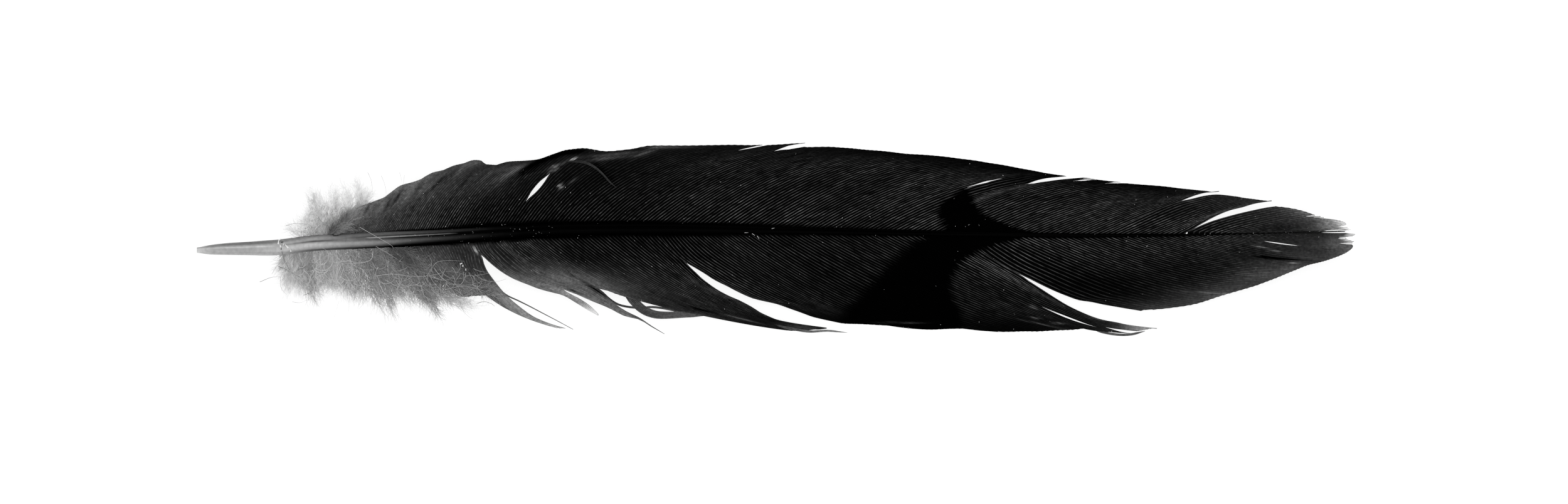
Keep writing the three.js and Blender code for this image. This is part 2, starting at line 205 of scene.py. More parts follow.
def back_height(x):
    """Height of the shaft's back over the surface."""
    quill_bend = np.maximum(0, REST_START - x) / (REST_START - QUILL_END)
    tip_bend = np.maximum(0, x - REST_END) / (FEATHER_END - REST_END)
    return QUILL_LIFT * quill_bend**2 + TIP_LIFT * tip_bend**2


def shaft_side(x):
    return read_table(SHAFT_LINE, x)


def shaft_width(x):
    return read_table(SHAFT_SIZE, x, 1)


def shaft_height(x):
    return read_table(SHAFT_SIZE, x, 2)


def smooth_step(low, high, x):
    """Goes smoothly from 0 at low to 1 at high, which may be the smaller one."""
    t = np.clip((x - low) / (high - low), 0, 1)
    return t * t * (3 - 2 * t)


def straight(rows, x, column=1):
    """Straight interpolation between the rows of a table."""
    table = np.array(rows, float)
    return np.interp(x, table[:, 0], table[:, column])


def unit(vectors):
    return vectors / np.maximum(np.linalg.norm(vectors, axis=-1, keepdims=True), 1e-9)


def soft_noise(rng, count, length, across, along):
    """A field of random numbers, blurred over neighbours in both directions, with a spread of one."""
    field = rng.normal(size=(count, length))
    for axis, reach in ((0, across), (1, along)):
        far = math.ceil(3 * reach)
        weights = np.exp(-0.5 * (np.arange(-far, far + 1) / reach) ** 2)
        field = np.apply_along_axis(lambda line: np.convolve(line, weights)[far:-far], axis, field)
    return field / max(field.std(), 1e-9)


# ---------------------------------------------------------------- meshes

WHITE = 255.0
FLOOR_LIGHT = 0.92  # the light that a flat white surface sends up, with the floor at white
MOST_LIGHT = 0.95
SHARP_ANGLE = 42
SIDE_SHARE = 0.96  # how much of a tube's strip of the bake map is its side; its ends get the rest
THREAD_SIDES = 3
THREAD_TIP = 0.35  # how thick a thread's far end is, as a share of its start


def albedo(tone):
    """The linear reflectance that shows as a tone under this scene's light, by the sRGB curve."""
    seen = np.clip(np.asarray(tone, float) / WHITE, 0, 1)
    linear = np.where(seen <= 0.04045, seen / 12.92, ((seen + 0.055) / 1.055) ** 2.4)
    return np.clip(linear * FLOOR_LIGHT, 0, MOST_LIGHT)


def tubes(name, rings, tones, material):
    """One mesh of closed tubes, from rings (tubes, stations, points around, 3) and its points' tones."""
    count, length, around = rings.shape[:3]
    index = np.arange(count * length * around).reshape(count, length, around)
    ahead = np.roll(index, -1, axis=2)
    quads = np.stack([index[:, :-1], ahead[:, :-1], ahead[:, 1:], index[:, 1:]], axis=-1).reshape(-1, 4)
    faces = quads.tolist() + index[:, 0, ::-1].tolist() + index[:, -1].tolist()
    mesh = bpy.data.meshes.new(name)
    mesh.from_pydata((rings * MM).reshape(-1, 3), [], faces)
    shade = mesh.color_attributes.new("tone", "FLOAT_COLOR", "POINT")
    value = albedo(tones).reshape(-1, 1)
    shade.data.foreach_set("color", np.hstack([value, value, value, np.ones_like(value)]).ravel())
    corners = np.broadcast_to(np.arange(around), (count, length - 1, around))
    tube = np.broadcast_to(np.arange(count)[:, None, None], corners.shape)
    station = np.broadcast_to(np.arange(length - 1)[None, :, None], corners.shape)
    u = np.stack([corners, corners + 1, corners + 1, corners], axis=-1) * SIDE_SHARE / around
    v = np.stack([station, station, station + 1, station + 1], axis=-1) / (length - 1)
    side = np.stack([(tube[..., None] + u) / count, v], axis=-1).reshape(-1, 2)
    ends = np.zeros((2 * count * around, 2))
    ends[:, 0] = np.tile(np.repeat((np.arange(count) + (1 + SIDE_SHARE) / 2) / count, around), 2)
    ends[count * around :, 1] = 1.0
    bake = mesh.uv_layers.new(name="OFBake")
    bake.data.foreach_set("uv", np.vstack([side, ends]).ravel())
    mesh.polygons.foreach_set("use_smooth", np.ones(len(mesh.polygons), bool))
    mesh.set_sharp_from_angle(angle=math.radians(SHARP_ANGLE))
    mesh.materials.append(material)
    piece = add_object(name, mesh)
    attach(piece, "root")
    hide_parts("feather")


def thread_rings(paths, radius):
    """Thin tubes along paths (threads, stations, 3), thinner towards their far ends."""
    forward = unit(np.gradient(paths, axis=1))
    side = unit(np.cross(forward, np.array([0.0, 0.0, 1.0])))
    up = np.cross(side, forward)
    taper = np.linspace(1, THREAD_TIP, paths.shape[1])[None, :, None]
    rings = []
    for k in range(THREAD_SIDES):
        turn = 2 * math.pi * k / THREAD_SIDES
        rings.append(paths + radius * taper * (math.cos(turn) * side - math.sin(turn) * up))
    return np.stack(rings[::-1], axis=2)


# ---------------------------------------------------------------- materials

GRAIN_DETAIL = 3.0
GRAIN_RANGE = (0.3, 0.7)  # the noise's values that give the darkest and the lightest tone
BUMP_STRENGTH = 0.25
BUMP_HEIGHT = 0.02


def keratin(name, roughness, specular, grain, spread):
    """Horn or barbs: the tone that is painted on the mesh, broken up by a fine grain."""
    material = bpy.data.materials.new(name)
    material.use_nodes = True
    nodes = material.node_tree.nodes
    links = material.node_tree.links
    shader = nodes["Principled BSDF"]
    set_inputs(shader, {"Roughness": roughness, "Specular IOR Level": specular})
    tone = nodes.new("ShaderNodeAttribute")
    tone.attribute_name = "tone"
    place = nodes.new("ShaderNodeTexCoord")
    noise = nodes.new("ShaderNodeTexNoise")
    set_inputs(noise, {"Scale": 1 / (grain * MM), "Detail": GRAIN_DETAIL})
    links.new(place.outputs["Object"], noise.inputs["Vector"])
    reach = nodes.new("ShaderNodeMapRange")
    set_inputs(reach, {"From Min": GRAIN_RANGE[0], "From Max": GRAIN_RANGE[1]})
    set_inputs(reach, {"To Min": 1 - spread, "To Max": 1 + spread})
    links.new(noise.outputs["Fac"], reach.inputs["Value"])
    mix = nodes.new("ShaderNodeVectorMath")
    mix.operation = "SCALE"
    links.new(tone.outputs["Color"], mix.inputs[0])
    links.new(reach.outputs["Result"], mix.inputs["Scale"])
    links.new(mix.outputs["Vector"], shader.inputs["Base Color"])
    bump = nodes.new("ShaderNodeBump")
    set_inputs(bump, {"Strength": BUMP_STRENGTH, "Distance": BUMP_HEIGHT * MM})
    links.new(noise.outputs["Fac"], bump.inputs["Height"])
    links.new(bump.outputs["Normal"], shader.inputs["Normal"])
    return material


vane_material = keratin("vane_barbs", roughness=0.55, specular=0.005, grain=0.35, spread=0.3)
shaft_material = keratin("shaft_horn", roughness=0.4, specular=0.01, grain=0.5, spread=0.12)
down_material = keratin("down_fibres", roughness=0.8, specular=0.02, grain=0.6, spread=0.15)

# ---------------------------------------------------------------- vanes

BARB_STATIONS = 44
BARB_SHARES = np.linspace(0, 1, BARB_STATIONS) ** 1.2  # closer together near the shaft
BEND_RANGE = (0.3, 0.7)  # how far out a barb may bend, as shares of its length
BOW_SCALE = 27 / 4  # brings the height of the bow's curve to one
# Distance between two barbs' roots: the widest, how much less it is at a place, that place, and how fast it
# grows from there. The other tables multiply it.
ROOT_PITCH = (0.762, 0.508, -53.8, 42.3)
UPPER_PITCH = [[-60, 1.0], [60, 1.0]]
LOWER_PITCH = [
    [-53, 1.08], [-42, 1.08], [-40.5, 0.68], [-36, 0.68], [-32, 1.08], [-18, 1.08], [-16, 0.8], [-8, 0.85],
    [0, 1.08], [74, 1.08],
]
# Over how many barbs the vane is evened out, how many are drawn together beside a parting and how many let go
# there, and over what share of their length they do.
KNIT_REACH = 4
HELD_BARBS = 7
PARTED_BARBS = 6
PARTING = 0.06
GAP_REACH = 1.0  # how far from an opening the barbs still give way
GAP_ENDS = (0.12, 0.88)  # between these shares of an opening's length the barbs have let go of each other
CURVE_STEPS = 12
COURSE_STATIONS = 120
GATHERED = (0.25, 0.5)  # shares of a loose lock's length over which its barbs come to lie evenly
# The barbs' tips are frayed past FRINGE along the feather and above FRINGE_SIDE across it.
FRINGE = (72, 75.5)
FRINGE_SIDE = (-1.1, -0.3)
FRAYED = 1.1  # length of a barb's end that is frayed
BUNDLE_ENDS = 0.4  # how often a bundle of frayed barbs ends
BUNDLED = 0.4  # how far a frayed barb moves to the middle of its bundle
FRAY_LENGTH = 0.3
POINTED = 0.35  # how much shorter a bundle's outer barbs are
PARTED_FROM = 0.2  # how much frayed two bundles are where they part
# How far the barbs reach to each other, as a share of the usual gap: where they have let go of each other,
# where they begin to, and where they hold.
OPEN_AT = 0.35
CLOSED_AT = 1.1
HELD_TO = 8.0
SLANT = 12.0  # how far along a barb its barbules may meet the neighbour's, as a share of the usual gap
USUAL_SPREAD = 9  # the usual gap is the median of those of so many barbs on either side
PARTING_BLUR = 5  # stations over which a parting begins

# A barb's cross-section. A narrowing is how much narrower its end is, and the share at which that begins. A
# crest is the ramus' height at its root, how much less it is at its end, and its most as a share of the gap.
WEB_NARROWING = (0.75, 0.86)
RAMUS_NARROWING = (0.4, 0.6)
RAMUS_HALF = 0.07  # half its width
RAMUS_SHARE = 0.3  # most that half the ramus may take of the usual gap
CREST = (0.16, 0.1, 0.35)
RAMUS_FOOT = 0.2  # height of the ramus' foot, as a share of its crest
WEB_DROOP = -0.03  # height of a web's edge
BARB_BACK = -0.08  # height of its other face
LIFT = 0.02  # how unevenly the barbs lie
# How far a web reaches past the middle of the gap, as a share of half of it, how much more it does at the
# vane's edge, and from which share of its length.
LAP = (1.04, 0.1, 0.8)


def barb_roots(first, last, density):
    widest, less, place, reach = ROOT_PITCH
    roots = [first]
    while roots[-1] < last:
        pitch = widest - less * math.exp((place - roots[-1]) / reach)
        roots.append(roots[-1] + pitch * float(read_table(density, roots[-1])))
    return np.array(roots[:-1])


def barb_lines(locks, side, root_table, edge_table, roots):
    """The middle lines of a vane's barbs in plan, and the number of each barb's lock."""
    starts = np.array([lock[0][0] for lock in locks])
    lock_of = np.clip(np.searchsorted(starts, roots, side="right") - 1, 0, len(locks) - 1)
    tip = np.zeros((len(roots), 2))
    bow = np.zeros(len(roots))
    for k, lock in enumerate(locks):
        mine = lock_of == k
        tip[mine, 0] = read_table(lock, roots[mine], 1)
        tip[mine, 1] = read_table(lock, roots[mine], 2)
        bow[mine] = side * read_table(lock, roots[mine], 3)
    root = np.stack([roots, shaft_side(roots) + side * ROOT_DEPTH * shaft_width(roots)], axis=1)
    leave_angle = np.radians(side * read_table(root_table, roots))
    arrive_angle = np.radians(side * read_table(edge_table, tip[:, 0]))
    leave = np.stack([np.cos(leave_angle), np.sin(leave_angle)], axis=1)
    arrive = np.stack([np.cos(arrive_angle), np.sin(arrive_angle)], axis=1)
    span = tip - root
    size = np.linalg.norm(span, axis=1)
    reach = (span[:, 0] * arrive[:, 1] - span[:, 1] * arrive[:, 0]) / (
        leave[:, 0] * arrive[:, 1] - leave[:, 1] * arrive[:, 0]
    )
    bend = root + leave * np.clip(reach, BEND_RANGE[0] * size, BEND_RANGE[1] * size)[:, None]
    outwards = np.stack([-span[:, 1], span[:, 0]], axis=1) / size[:, None]
    share = BARB_SHARES[None, :, None]
    lines = (
        root[:, None] * (1 - share) ** 2
        + bend[:, None] * 2 * share * (1 - share)
        + tip[:, None] * share**2
        + (outwards * bow[:, None])[:, None] * BOW_SCALE * share**2 * (1 - share)
    )
    return lines, lock_of


def knit(lines, lock_of, splits):
    """Spreads the barbs evenly across the ends of the locks, up to where these part. Says where they do."""
    pad = 3 * KNIT_REACH
    weights = np.exp(-0.5 * (np.arange(-pad, pad + 1) / KNIT_REACH) ** 2)
    weights /= weights.sum()
    before = 2 * lines[:1] - lines[pad:0:-1]
    after = 2 * lines[-1:] - lines[-2 : -pad - 2 : -1]
    padded = np.concatenate([before, lines, after])
    even = sum(weight * padded[k : k + len(lines)] for k, weight in enumerate(weights))
    free = np.ones(lines.shape[:2])
    torn = np.zeros((len(lines) - 1, lines.shape[1]), bool)
    order = np.arange(len(lines))
    for k in range(1, len(splits)):
        first = np.searchsorted(lock_of, k)
        away = np.abs(order - first + 0.5) - 0.5
        held = np.exp(-((away / HELD_BARBS) ** 2))[:, None]
        near = np.clip(1 - away / PARTED_BARBS, 0, 1)[:, None]
        parted = smooth_step(splits[k] - PARTING, splits[k] + PARTING, BARB_SHARES)[None]
        free = np.minimum(free, 1 - held * (1 - near * parted))
        torn[first - 1] = BARB_SHARES > splits[k]
    return even + (lines - even) * free[..., None], torn


def open_gap(lines, torn, start, end, width):
    """Parts the barbs along a line from start to end, each to the side that it passes on."""
    start = np.array(start)
    along = np.array(end) - start
    length = np.linalg.norm(along)
    along = along / length
    normal = np.array([-along[1], along[0]])
    share = (lines - start) @ along / length
    off = (lines - start) @ normal
    nearest = np.argmin(np.abs(share - 0.5) * length + np.abs(off), axis=1)
    way = np.sign(off[np.arange(len(lines)), nearest])[:, None]
    push = 0.5 * width * np.sin(np.pi * np.clip(share, 0, 1)) * np.exp(-np.abs(off) / GAP_REACH)
    inside = (share > GAP_ENDS[0]) & (share < GAP_ENDS[1])
    torn |= (way[1:] != way[:-1]) & (inside[1:] | inside[:-1])
    return lines + (way * push)[..., None] * normal


# Where the first or last barb of a lock runs: the lock, which of the two, over how many barbs its lock
# follows it, the number of the point at which it leaves its neighbour, and its points.
UPPER_COURSES = [
    (2, "last", 3, 0, [(34.2, 7.4), (35.4, 7.85), (36.8, 8.15), (38.2, 8.3), (39.4, 8.4)]),
    (3, "first", 3, 0, [(34.2, 7.3), (35.5, 7.4), (37.0, 7.6), (38.6, 7.85), (40.2, 8.05)]),
    (5, "last", 4, 0, [(53.9, 4.7), (55.0, 5.15), (56.3, 5.65), (58.0, 6.1), (60.0, 6.35)]),
    (6, "first", 4, 0, [(53.9, 4.7), (55.0, 5.0), (56.3, 5.25), (58.0, 5.65), (59.9, 5.85), (62.5, 5.6)]),
    (6, "last", 3, 0, [
        (55.8, 0.95), (56.3, 1.2), (58.0, 2.2), (59.7, 3.1), (61.4, 3.8), (63.1, 4.25), (64.8, 4.75),
        (67.1, 5.1),
    ]),
    (7, "first", 5, 0, [
        (55.9, 0.9), (58.0, 1.85), (59.7, 2.45), (61.4, 2.95), (63.1, 3.4), (64.8, 3.8), (66.5, 4.15),
        (67.7, 4.3),
    ]),
]
LOWER_COURSES = [
    (0, "last", 8, 0, [
        (-39.7, -2.0), (-39.3, -3.4), (-38.8, -4.5), (-37.9, -5.75), (-36.9, -7.0), (-35.8, -8.15),
        (-34.5, -9.25), (-33.0, -10.35), (-31.6, -11.05), (-29.8, -11.7), (-28.2, -12.15),
    ]),
    (1, "first", 3, 0, [
        (-39.7, -1.95), (-38.5, -3.15), (-36.8, -4.5), (-35.1, -5.5), (-33.4, -6.2), (-31.7, -6.85),
        (-30.1, -7.3), (-28.4, -7.8), (-26.7, -8.8), (-25.2, -9.7), (-23.8, -10.45),
    ]),
    (1, "last", 2, 4, [
        (-38.2, -1.9), (-36.5, -3.6), (-34.5, -4.9), (-32.0, -5.9), (-29.0, -6.75), (-28.4, -7.1),
        (-27.3, -7.7), (-26.2, -8.3), (-24.9, -9.2), (-23.7, -10.35),
    ]),
    (2, "first", 2, 5, [
        (-38.1, -1.8), (-36.4, -3.5), (-34.4, -4.8), (-31.9, -5.8), (-29.0, -6.65), (-27.9, -7.05),
        (-26.7, -7.5), (-25.0, -8.3), (-23.3, -9.0), (-22.0, -9.6), (-20.7, -10.3), (-19.9, -10.6),
        (-18.2, -11.0), (-16.9, -11.8), (-15.7, -12.5), (-14.9, -12.95),
    ]),
    (2, "last", 2, 4, [
        (-35.0, -2.1), (-32.5, -3.9), (-29.5, -5.3), (-27.0, -6.0), (-25.0, -6.45), (-23.4, -7.4),
        (-22.0, -8.5), (-21.2, -9.1), (-19.9, -9.9), (-18.2, -10.7), (-16.4, -11.9), (-14.8, -12.9),
    ]),
    (3, "first", 4, 5, [
        (-34.9, -2.0), (-32.4, -3.8), (-29.4, -5.2), (-26.9, -5.9), (-25.0, -6.35), (-23.4, -6.85),
        (-22.0, -7.1), (-20.7, -7.35), (-18.6, -7.8), (-17.4, -8.2), (-16.1, -8.65), (-14.8, -9.25),
        (-13.5, -9.65), (-11.8, -10.1),
    ]),
    (3, "last", 5, 0, [
        (-12.4, -2.95), (-11.4, -4.0), (-10.6, -4.75), (-9.7, -5.6), (-8.0, -6.85), (-6.3, -7.8),
        (-4.7, -8.5), (-3.0, -9.4), (-1.9, -10.1), (0.4, -11.1), (2.1, -11.5), (3.8, -11.75), (6.9, -12.15),
    ]),
    (4, "first", 8, 0, [
        (-12.4, -2.9), (-11.4, -3.55), (-9.7, -4.55), (-8.0, -5.65), (-6.3, -6.5), (-4.7, -7.35),
        (-3.0, -8.1), (-1.3, -8.55), (0.4, -8.95), (2.1, -9.55), (3.8, -10.15), (5.5, -10.75), (8.7, -11.45),
    ]),
    (6, "last", 4, 0, [
        (32.1, -4.4), (33.4, -5.15), (34.3, -5.8), (36.0, -6.9), (37.7, -8.0), (39.4, -9.05), (41.1, -9.9),
        (42.8, -10.6), (44.4, -11.1), (46.1, -11.4), (47.8, -11.75), (51.6, -12.2),
    ]),
    (7, "first", 6, 0, [
        (32.1, -4.3), (34.3, -5.35), (36.0, -6.2), (37.7, -7.0), (39.4, -7.7), (41.1, -8.3), (42.8, -8.55),
        (44.4, -8.9), (46.1, -9.2), (47.8, -9.5), (49.5, -9.75),
    ]),
]


def along_points(points, stations):
    """A smooth curve through points, at even shares of its length (Catmull-Rom)."""
    points = np.array(points, float)
    padded = np.vstack([2 * points[0] - points[1], points, 2 * points[-1] - points[-2]])
    fine = []
    for k in range(len(points) - 1):
        a, b, c, d = padded[k : k + 4]
        for t in np.linspace(0, 1, CURVE_STEPS, endpoint=False):
            bend = (2 * a - 5 * b + 4 * c - d) * t**2 + (3 * b - a - 3 * c + d) * t**3
            fine.append(0.5 * (2 * b + (c - a) * t + bend))
    fine = np.array(fine + [points[-1]])
    gone = path_length(fine)
    wanted = np.linspace(0, gone[-1], stations)
    return np.stack([np.interp(wanted, gone, fine[:, axis]) for axis in range(points.shape[1])], axis=1)


def path_length(path):
    return np.concatenate([[0], np.cumsum(np.linalg.norm(np.diff(path, axis=0), axis=1))])


def lead(lines, torn, lock_of, courses):
    """Lays the first or last barbs of locks along their courses, and draws their neighbours after them."""
    stations = np.arange(COURSE_STATIONS)
    for lock, end, reach, parting, points in courses:
        mine = np.flatnonzero(lock_of == lock)
        edge = mine[0] if end == "first" else mine[-1]
        barb = lines[edge]
        course = along_points(points, COURSE_STATIONS)
        start = np.argmin(np.linalg.norm(barb - course[0], axis=1))
        gone = path_length(barb[start:])
        there = gone / gone[-1] * stations[-1]
        target = np.stack([np.interp(there, stations, course[:, axis]) for axis in (0, 1)], axis=1)
        move = np.zeros_like(barb)
        move[start:] = target - barb[start:]
        move[:start] = move[start] * smooth_step(0, start, np.arange(start))[:, None]
        pull = np.exp(-(((mine - edge) / reach) ** 2))
        lines[mine] += pull[:, None, None] * move
        if end == "first":
            parted = np.argmin(np.linalg.norm(lines[edge] - np.array(points[parting]), axis=1))
            torn[edge - 1] = np.arange(BARB_STATIONS) > parted
    return lines


def gather(lines, lock_of, loose_locks):
    """Lays the barbs of narrow loose locks evenly between their first and last ones."""
    for lock in loose_locks:
        mine = np.flatnonzero(lock_of == lock)
        place = np.linspace(0, 1, len(mine))[:, None, None]
        even = lines[mine[0]] * (1 - place) + lines[mine[-1]] * place
        lines[mine] += (even - lines[mine]) * smooth_step(*GATHERED, BARB_SHARES)[None, :, None]
    return lines


def fray(lines, torn, rng):
    """Gathers the barbs' ends near the feather's tip into uneven bundles. Says how frayed each barb is."""
    much = smooth_step(*FRINGE, lines[:, -1, 0]) * smooth_step(*FRINGE_SIDE, lines[:, -1, 1])
    bundle = np.cumsum(rng.random(len(lines)) < BUNDLE_ENDS)
    gone = np.array([path_length(line) for line in lines])
    outer = smooth_step(0, 1, 1 - (gone[:, -1:] - gone) / FRAYED)
    for k in np.unique(bundle[much > 0]):
        mine = bundle == k
        pull = much[mine, None] * outer[mine]
        lines[mine] += BUNDLED * pull[..., None] * (lines[mine].mean(axis=0) - lines[mine])
        place = np.linspace(-1, 1, np.count_nonzero(mine))[:, None]
        lines[mine, :, 0] += (FRAY_LENGTH * rng.normal() - POINTED * place**2) * pull
    between = (np.diff(bundle) > 0) & (much[1:] > PARTED_FROM)
    torn |= between[:, None] & (outer[1:] > 0)
    return lines, much


def vane_heights(lines, roots):
    share = BARB_SHARES[None]
    start = (back_height(roots) + ATTACH * shaft_height(roots))[:, None]
    edge = back_height(lines[..., 0]) + read_table(EDGE_HEIGHT, lines[..., 0])
    camber = CAMBER * 4 * share * (1 - share) * shaft_height(roots)[:, None]
    return start * (1 - share) + edge * share + camber


def half_gaps(lines, side, torn):
    """For every station of every barb, the way to the middle of the gap on either side of it, in plan."""
    forward = unit(np.gradient(lines, axis=1))
    left = np.stack([-forward[..., 1], forward[..., 0]], axis=-1)
    step = np.diff(lines, axis=0)
    before = np.concatenate([step[:1], step])
    after = np.concatenate([step, step[-1:]])
    usual = np.abs(np.sum(after * left, axis=-1))
    padded = np.pad(usual, ((USUAL_SPREAD, USUAL_SPREAD), (0, 0)), mode="edge")
    usual = np.median(np.stack([padded[k : k + len(usual)] for k in range(2 * USUAL_SPREAD + 1)]), axis=0)
    blur = np.ones(PARTING_BLUR) / PARTING_BLUR
    nil = np.zeros((1, torn.shape[1]))
    parted = np.apply_along_axis(lambda line: np.convolve(line, blur, "same"), 1, torn.astype(float))
    halves = []
    for gap, open_here in ((after, np.concatenate([parted, nil])), (-before, np.concatenate([nil, parted]))):
        across = np.sum(gap * left, axis=-1)
        along = np.clip(np.sum(gap * forward, axis=-1), -SLANT * usual, SLANT * usual) * (1 - open_here)
        most = np.where(open_here > 0, CLOSED_AT - (CLOSED_AT - OPEN_AT) * open_here, HELD_TO) * usual
        held = np.minimum(np.abs(across), most) * np.sign(across)
        whole = np.minimum(1, most / np.maximum(np.abs(across), 1e-6)) ** 2
        halves.append(0.5 * (held[..., None] * left + (along * whole)[..., None] * forward))
    upward = 0 if side < 0 else 1  # which of the two lies on the left of the barb
    return halves[1 - upward], halves[upward], usual


def barb_rings(lines, heights, torn, side, loose, rng):
    """Closed strips, one a barb: two webs of barbules that reach halfway to the neighbours, and the ramus."""
    left, right, usual = half_gaps(lines, side, torn)
    share = BARB_SHARES[None]
    taper = 1 - WEB_NARROWING[0] * smooth_step(WEB_NARROWING[1], 1, share) * loose[:, None]
    slim = 1 - RAMUS_NARROWING[0] * smooth_step(RAMUS_NARROWING[1], 1, share)
    crest = np.minimum(CREST[0] - CREST[1] * share, CREST[2] * usual)
    foot = np.minimum(RAMUS_HALF * slim, RAMUS_SHARE * usual)[..., None]
    forward = unit(np.gradient(lines, axis=1))
    across = np.stack([-forward[..., 1], forward[..., 0]], axis=-1)
    lift = LIFT * soft_noise(rng, *usual.shape, across=1.0, along=6.0)
    lap = LAP[0] + LAP[1] * smooth_step(LAP[2], 1, share) * (1 - loose[:, None])
    reach = (taper * lap)[..., None]
    nil = 0 * crest

    def point(offset, rise):
        return np.concatenate([lines + offset, (heights + lift + rise)[..., None]], axis=-1)

    return np.stack(
        [
            point(left * reach, nil + WEB_DROOP),
            point(across * foot, RAMUS_FOOT * crest),
            point(0 * lines, crest),
            point(-across * foot, RAMUS_FOOT * crest),
            point(right * reach, nil + WEB_DROOP),
            point(0 * lines, nil + BARB_BACK),
        ],
        axis=2,
    )


# The black patch, in rows across the feather: place across, where it begins and ends along it. Then how soft
# its two ends are, how soft the lower vane's first one is, how uneven it is from barb to barb, how far up it
# goes, and how much of it the ramus takes.
PATCH = [
    [-11.4, 9.0, 25.5], [-9.7, 9.4, 25.0], [-8.9, 10.2, 24.4], [-8.0, 11.4, 24.0], [-6.8, 12.3, 23.9],
    [-5.1, 13.8, 24.1], [-3.55, 15.2, 25.0], [-2.7, 16.3, 26.2], [-1.95, 17.0, 27.5], [-1.27, 17.6, 29.2],
    [-0.68, 18.4, 30.9], [-0.17, 19.6, 33.0], [0.5, 21.8, 36.2], [1.0, 23.0, 34.3], [1.7, 22.8, 31.8],
    [2.37, 22.4, 30.1], [3.39, 21.8, 28.2], [4.66, 22.4, 27.0], [5.5, 23.7, 26.8], [6.35, 25.1, 26.3],
]
PATCH_SOFT = (0.5, 0.3)
PATCH_LOWER_SOFT = 1.2
PATCH_RAGGED = 0.1
PATCH_TOP = 6.6
PATCH_RAMUS = 0.97

# Tones along the feather, of the ramus and then of the web: near the shaft, in mid vane, at the edge. The
# ramus' lighter tone is partly its own and partly a painted highlight, the light that its ridge catches.
UPPER_TONES = [
    [-60, 138, 142, 140, 128, 136, 138], [-57, 118, 130, 128, 82, 116, 124], [-50, 92, 108, 115, 40, 80, 104],
    [-44, 100, 105, 100, 8, 50, 88], [-39, 66, 80, 58, 0, 22, 48], [-28, 72, 50, 42, 0, 1, 22],
    [0, 90, 70, 36, 0, 1, 10], [20, 90, 70, 13, 0, 1, 3], [40, 90, 68, 12, 1, 1, 2],
    [52, 85, 72, 14, 3, 4, 5], [60, 80, 78, 60, 10, 12, 24], [68, 75, 85, 95, 22, 34, 50],
    [73, 90, 110, 145, 40, 66, 110], [78, 160, 175, 180, 120, 145, 160],
]
LOWER_TONES = [
    [-52, 110, 135, 145, 80, 120, 130], [-45, 88, 114, 136, 58, 94, 116], [-41, 82, 112, 133, 44, 98, 114],
    [-38.5, 84, 118, 130, 34, 120, 124], [-34, 80, 120, 138, 18, 124, 136], [-28, 58, 112, 140, 2, 120, 140],
    [-22, 62, 96, 134, 0, 86, 130], [-16, 66, 78, 92, 0, 24, 68], [-8, 70, 68, 60, 0, 6, 34],
    [0, 62, 50, 30, 0, 1, 10], [10, 66, 46, 8, 0, 1, 2], [24, 84, 54, 8, 0, 1, 1], [34, 100, 62, 12, 0, 1, 1],
    [45, 84, 42, 50, 1, 1, 26], [53, 74, 50, 96, 2, 3, 66], [57, 72, 54, 98, 3, 3, 70],
    [60, 72, 60, 108, 4, 5, 78], [68, 70, 72, 98, 14, 26, 72], [74, 78, 76, 80, 30, 40, 56],
    [78, 115, 120, 125, 80, 88, 100],
]
BANDS = (0.15, 0.5, 1.0)  # shares of a barb's length that the three tones stand at
# How far ramus and web blend into one tone along the feather: near the shaft, in mid vane and at the edge.
# That tone has so much of the ramus in it.
BLEND_RAMUS = 0.3
UPPER_BLEND = [
    [-58, 0.5, 0.7, 0.8], [-45, 0.0, 0.5, 0.8], [-38, 0.0, 0.3, 0.8], [-22, 0.0, 0.3, 0.7],
    [-8, 0.0, 0.0, 0.3], [50, 0.0, 0.0, 0.2], [62, 0.0, 0.3, 0.6], [72, 0.2, 0.5, 0.5],
]
LOWER_BLEND = [
    [-52, 0.2, 0.3, 0.6], [-40, 0.0, 0.5, 0.7], [-30, 0.0, 0.6, 0.8], [-18, 0.0, 0.3, 0.7],
    [-5, 0.0, 0.0, 0.4], [45, 0.0, 0.0, 0.6], [60, 0.0, 0.2, 0.8], [72, 0.3, 0.6, 0.8],
]

# Painted shadow of the shaft on the vanes beside it: how far out from the shaft's side the vanes are
# darkened.
SHAFT_SHADOW_REACH = [
    [-56, -0.2], [-50, 0.1], [-40, 0.45], [-30, 0.45], [-10, 0.25], [20, 0.1], [50, 0.0], [65, -0.2],
]
SHAFT_SHADOW_SOFT = 0.1
# Light and dark along a ramus: how strong, how much weaker where it blends with the web, least and most.
BEADS = (0.22, 0.6, 0.4, 1.7)
SHADES = 0.07  # how much neighbouring barbs differ
FOOT_RAMUS = 0.12  # how much of the ramus' tone is in its foot's
VANE_BACK = 30  # tone of the vanes' other face


def band_tones(table, x, share, first_column):
    near, middle, edge = (straight(table, x, first_column + k) for k in range(3))
    inner = smooth_step(BANDS[0], BANDS[1], share)
    outer = smooth_step(BANDS[1], BANDS[2], share)
    return near * (1 - inner) + middle * inner + (edge - middle) * outer
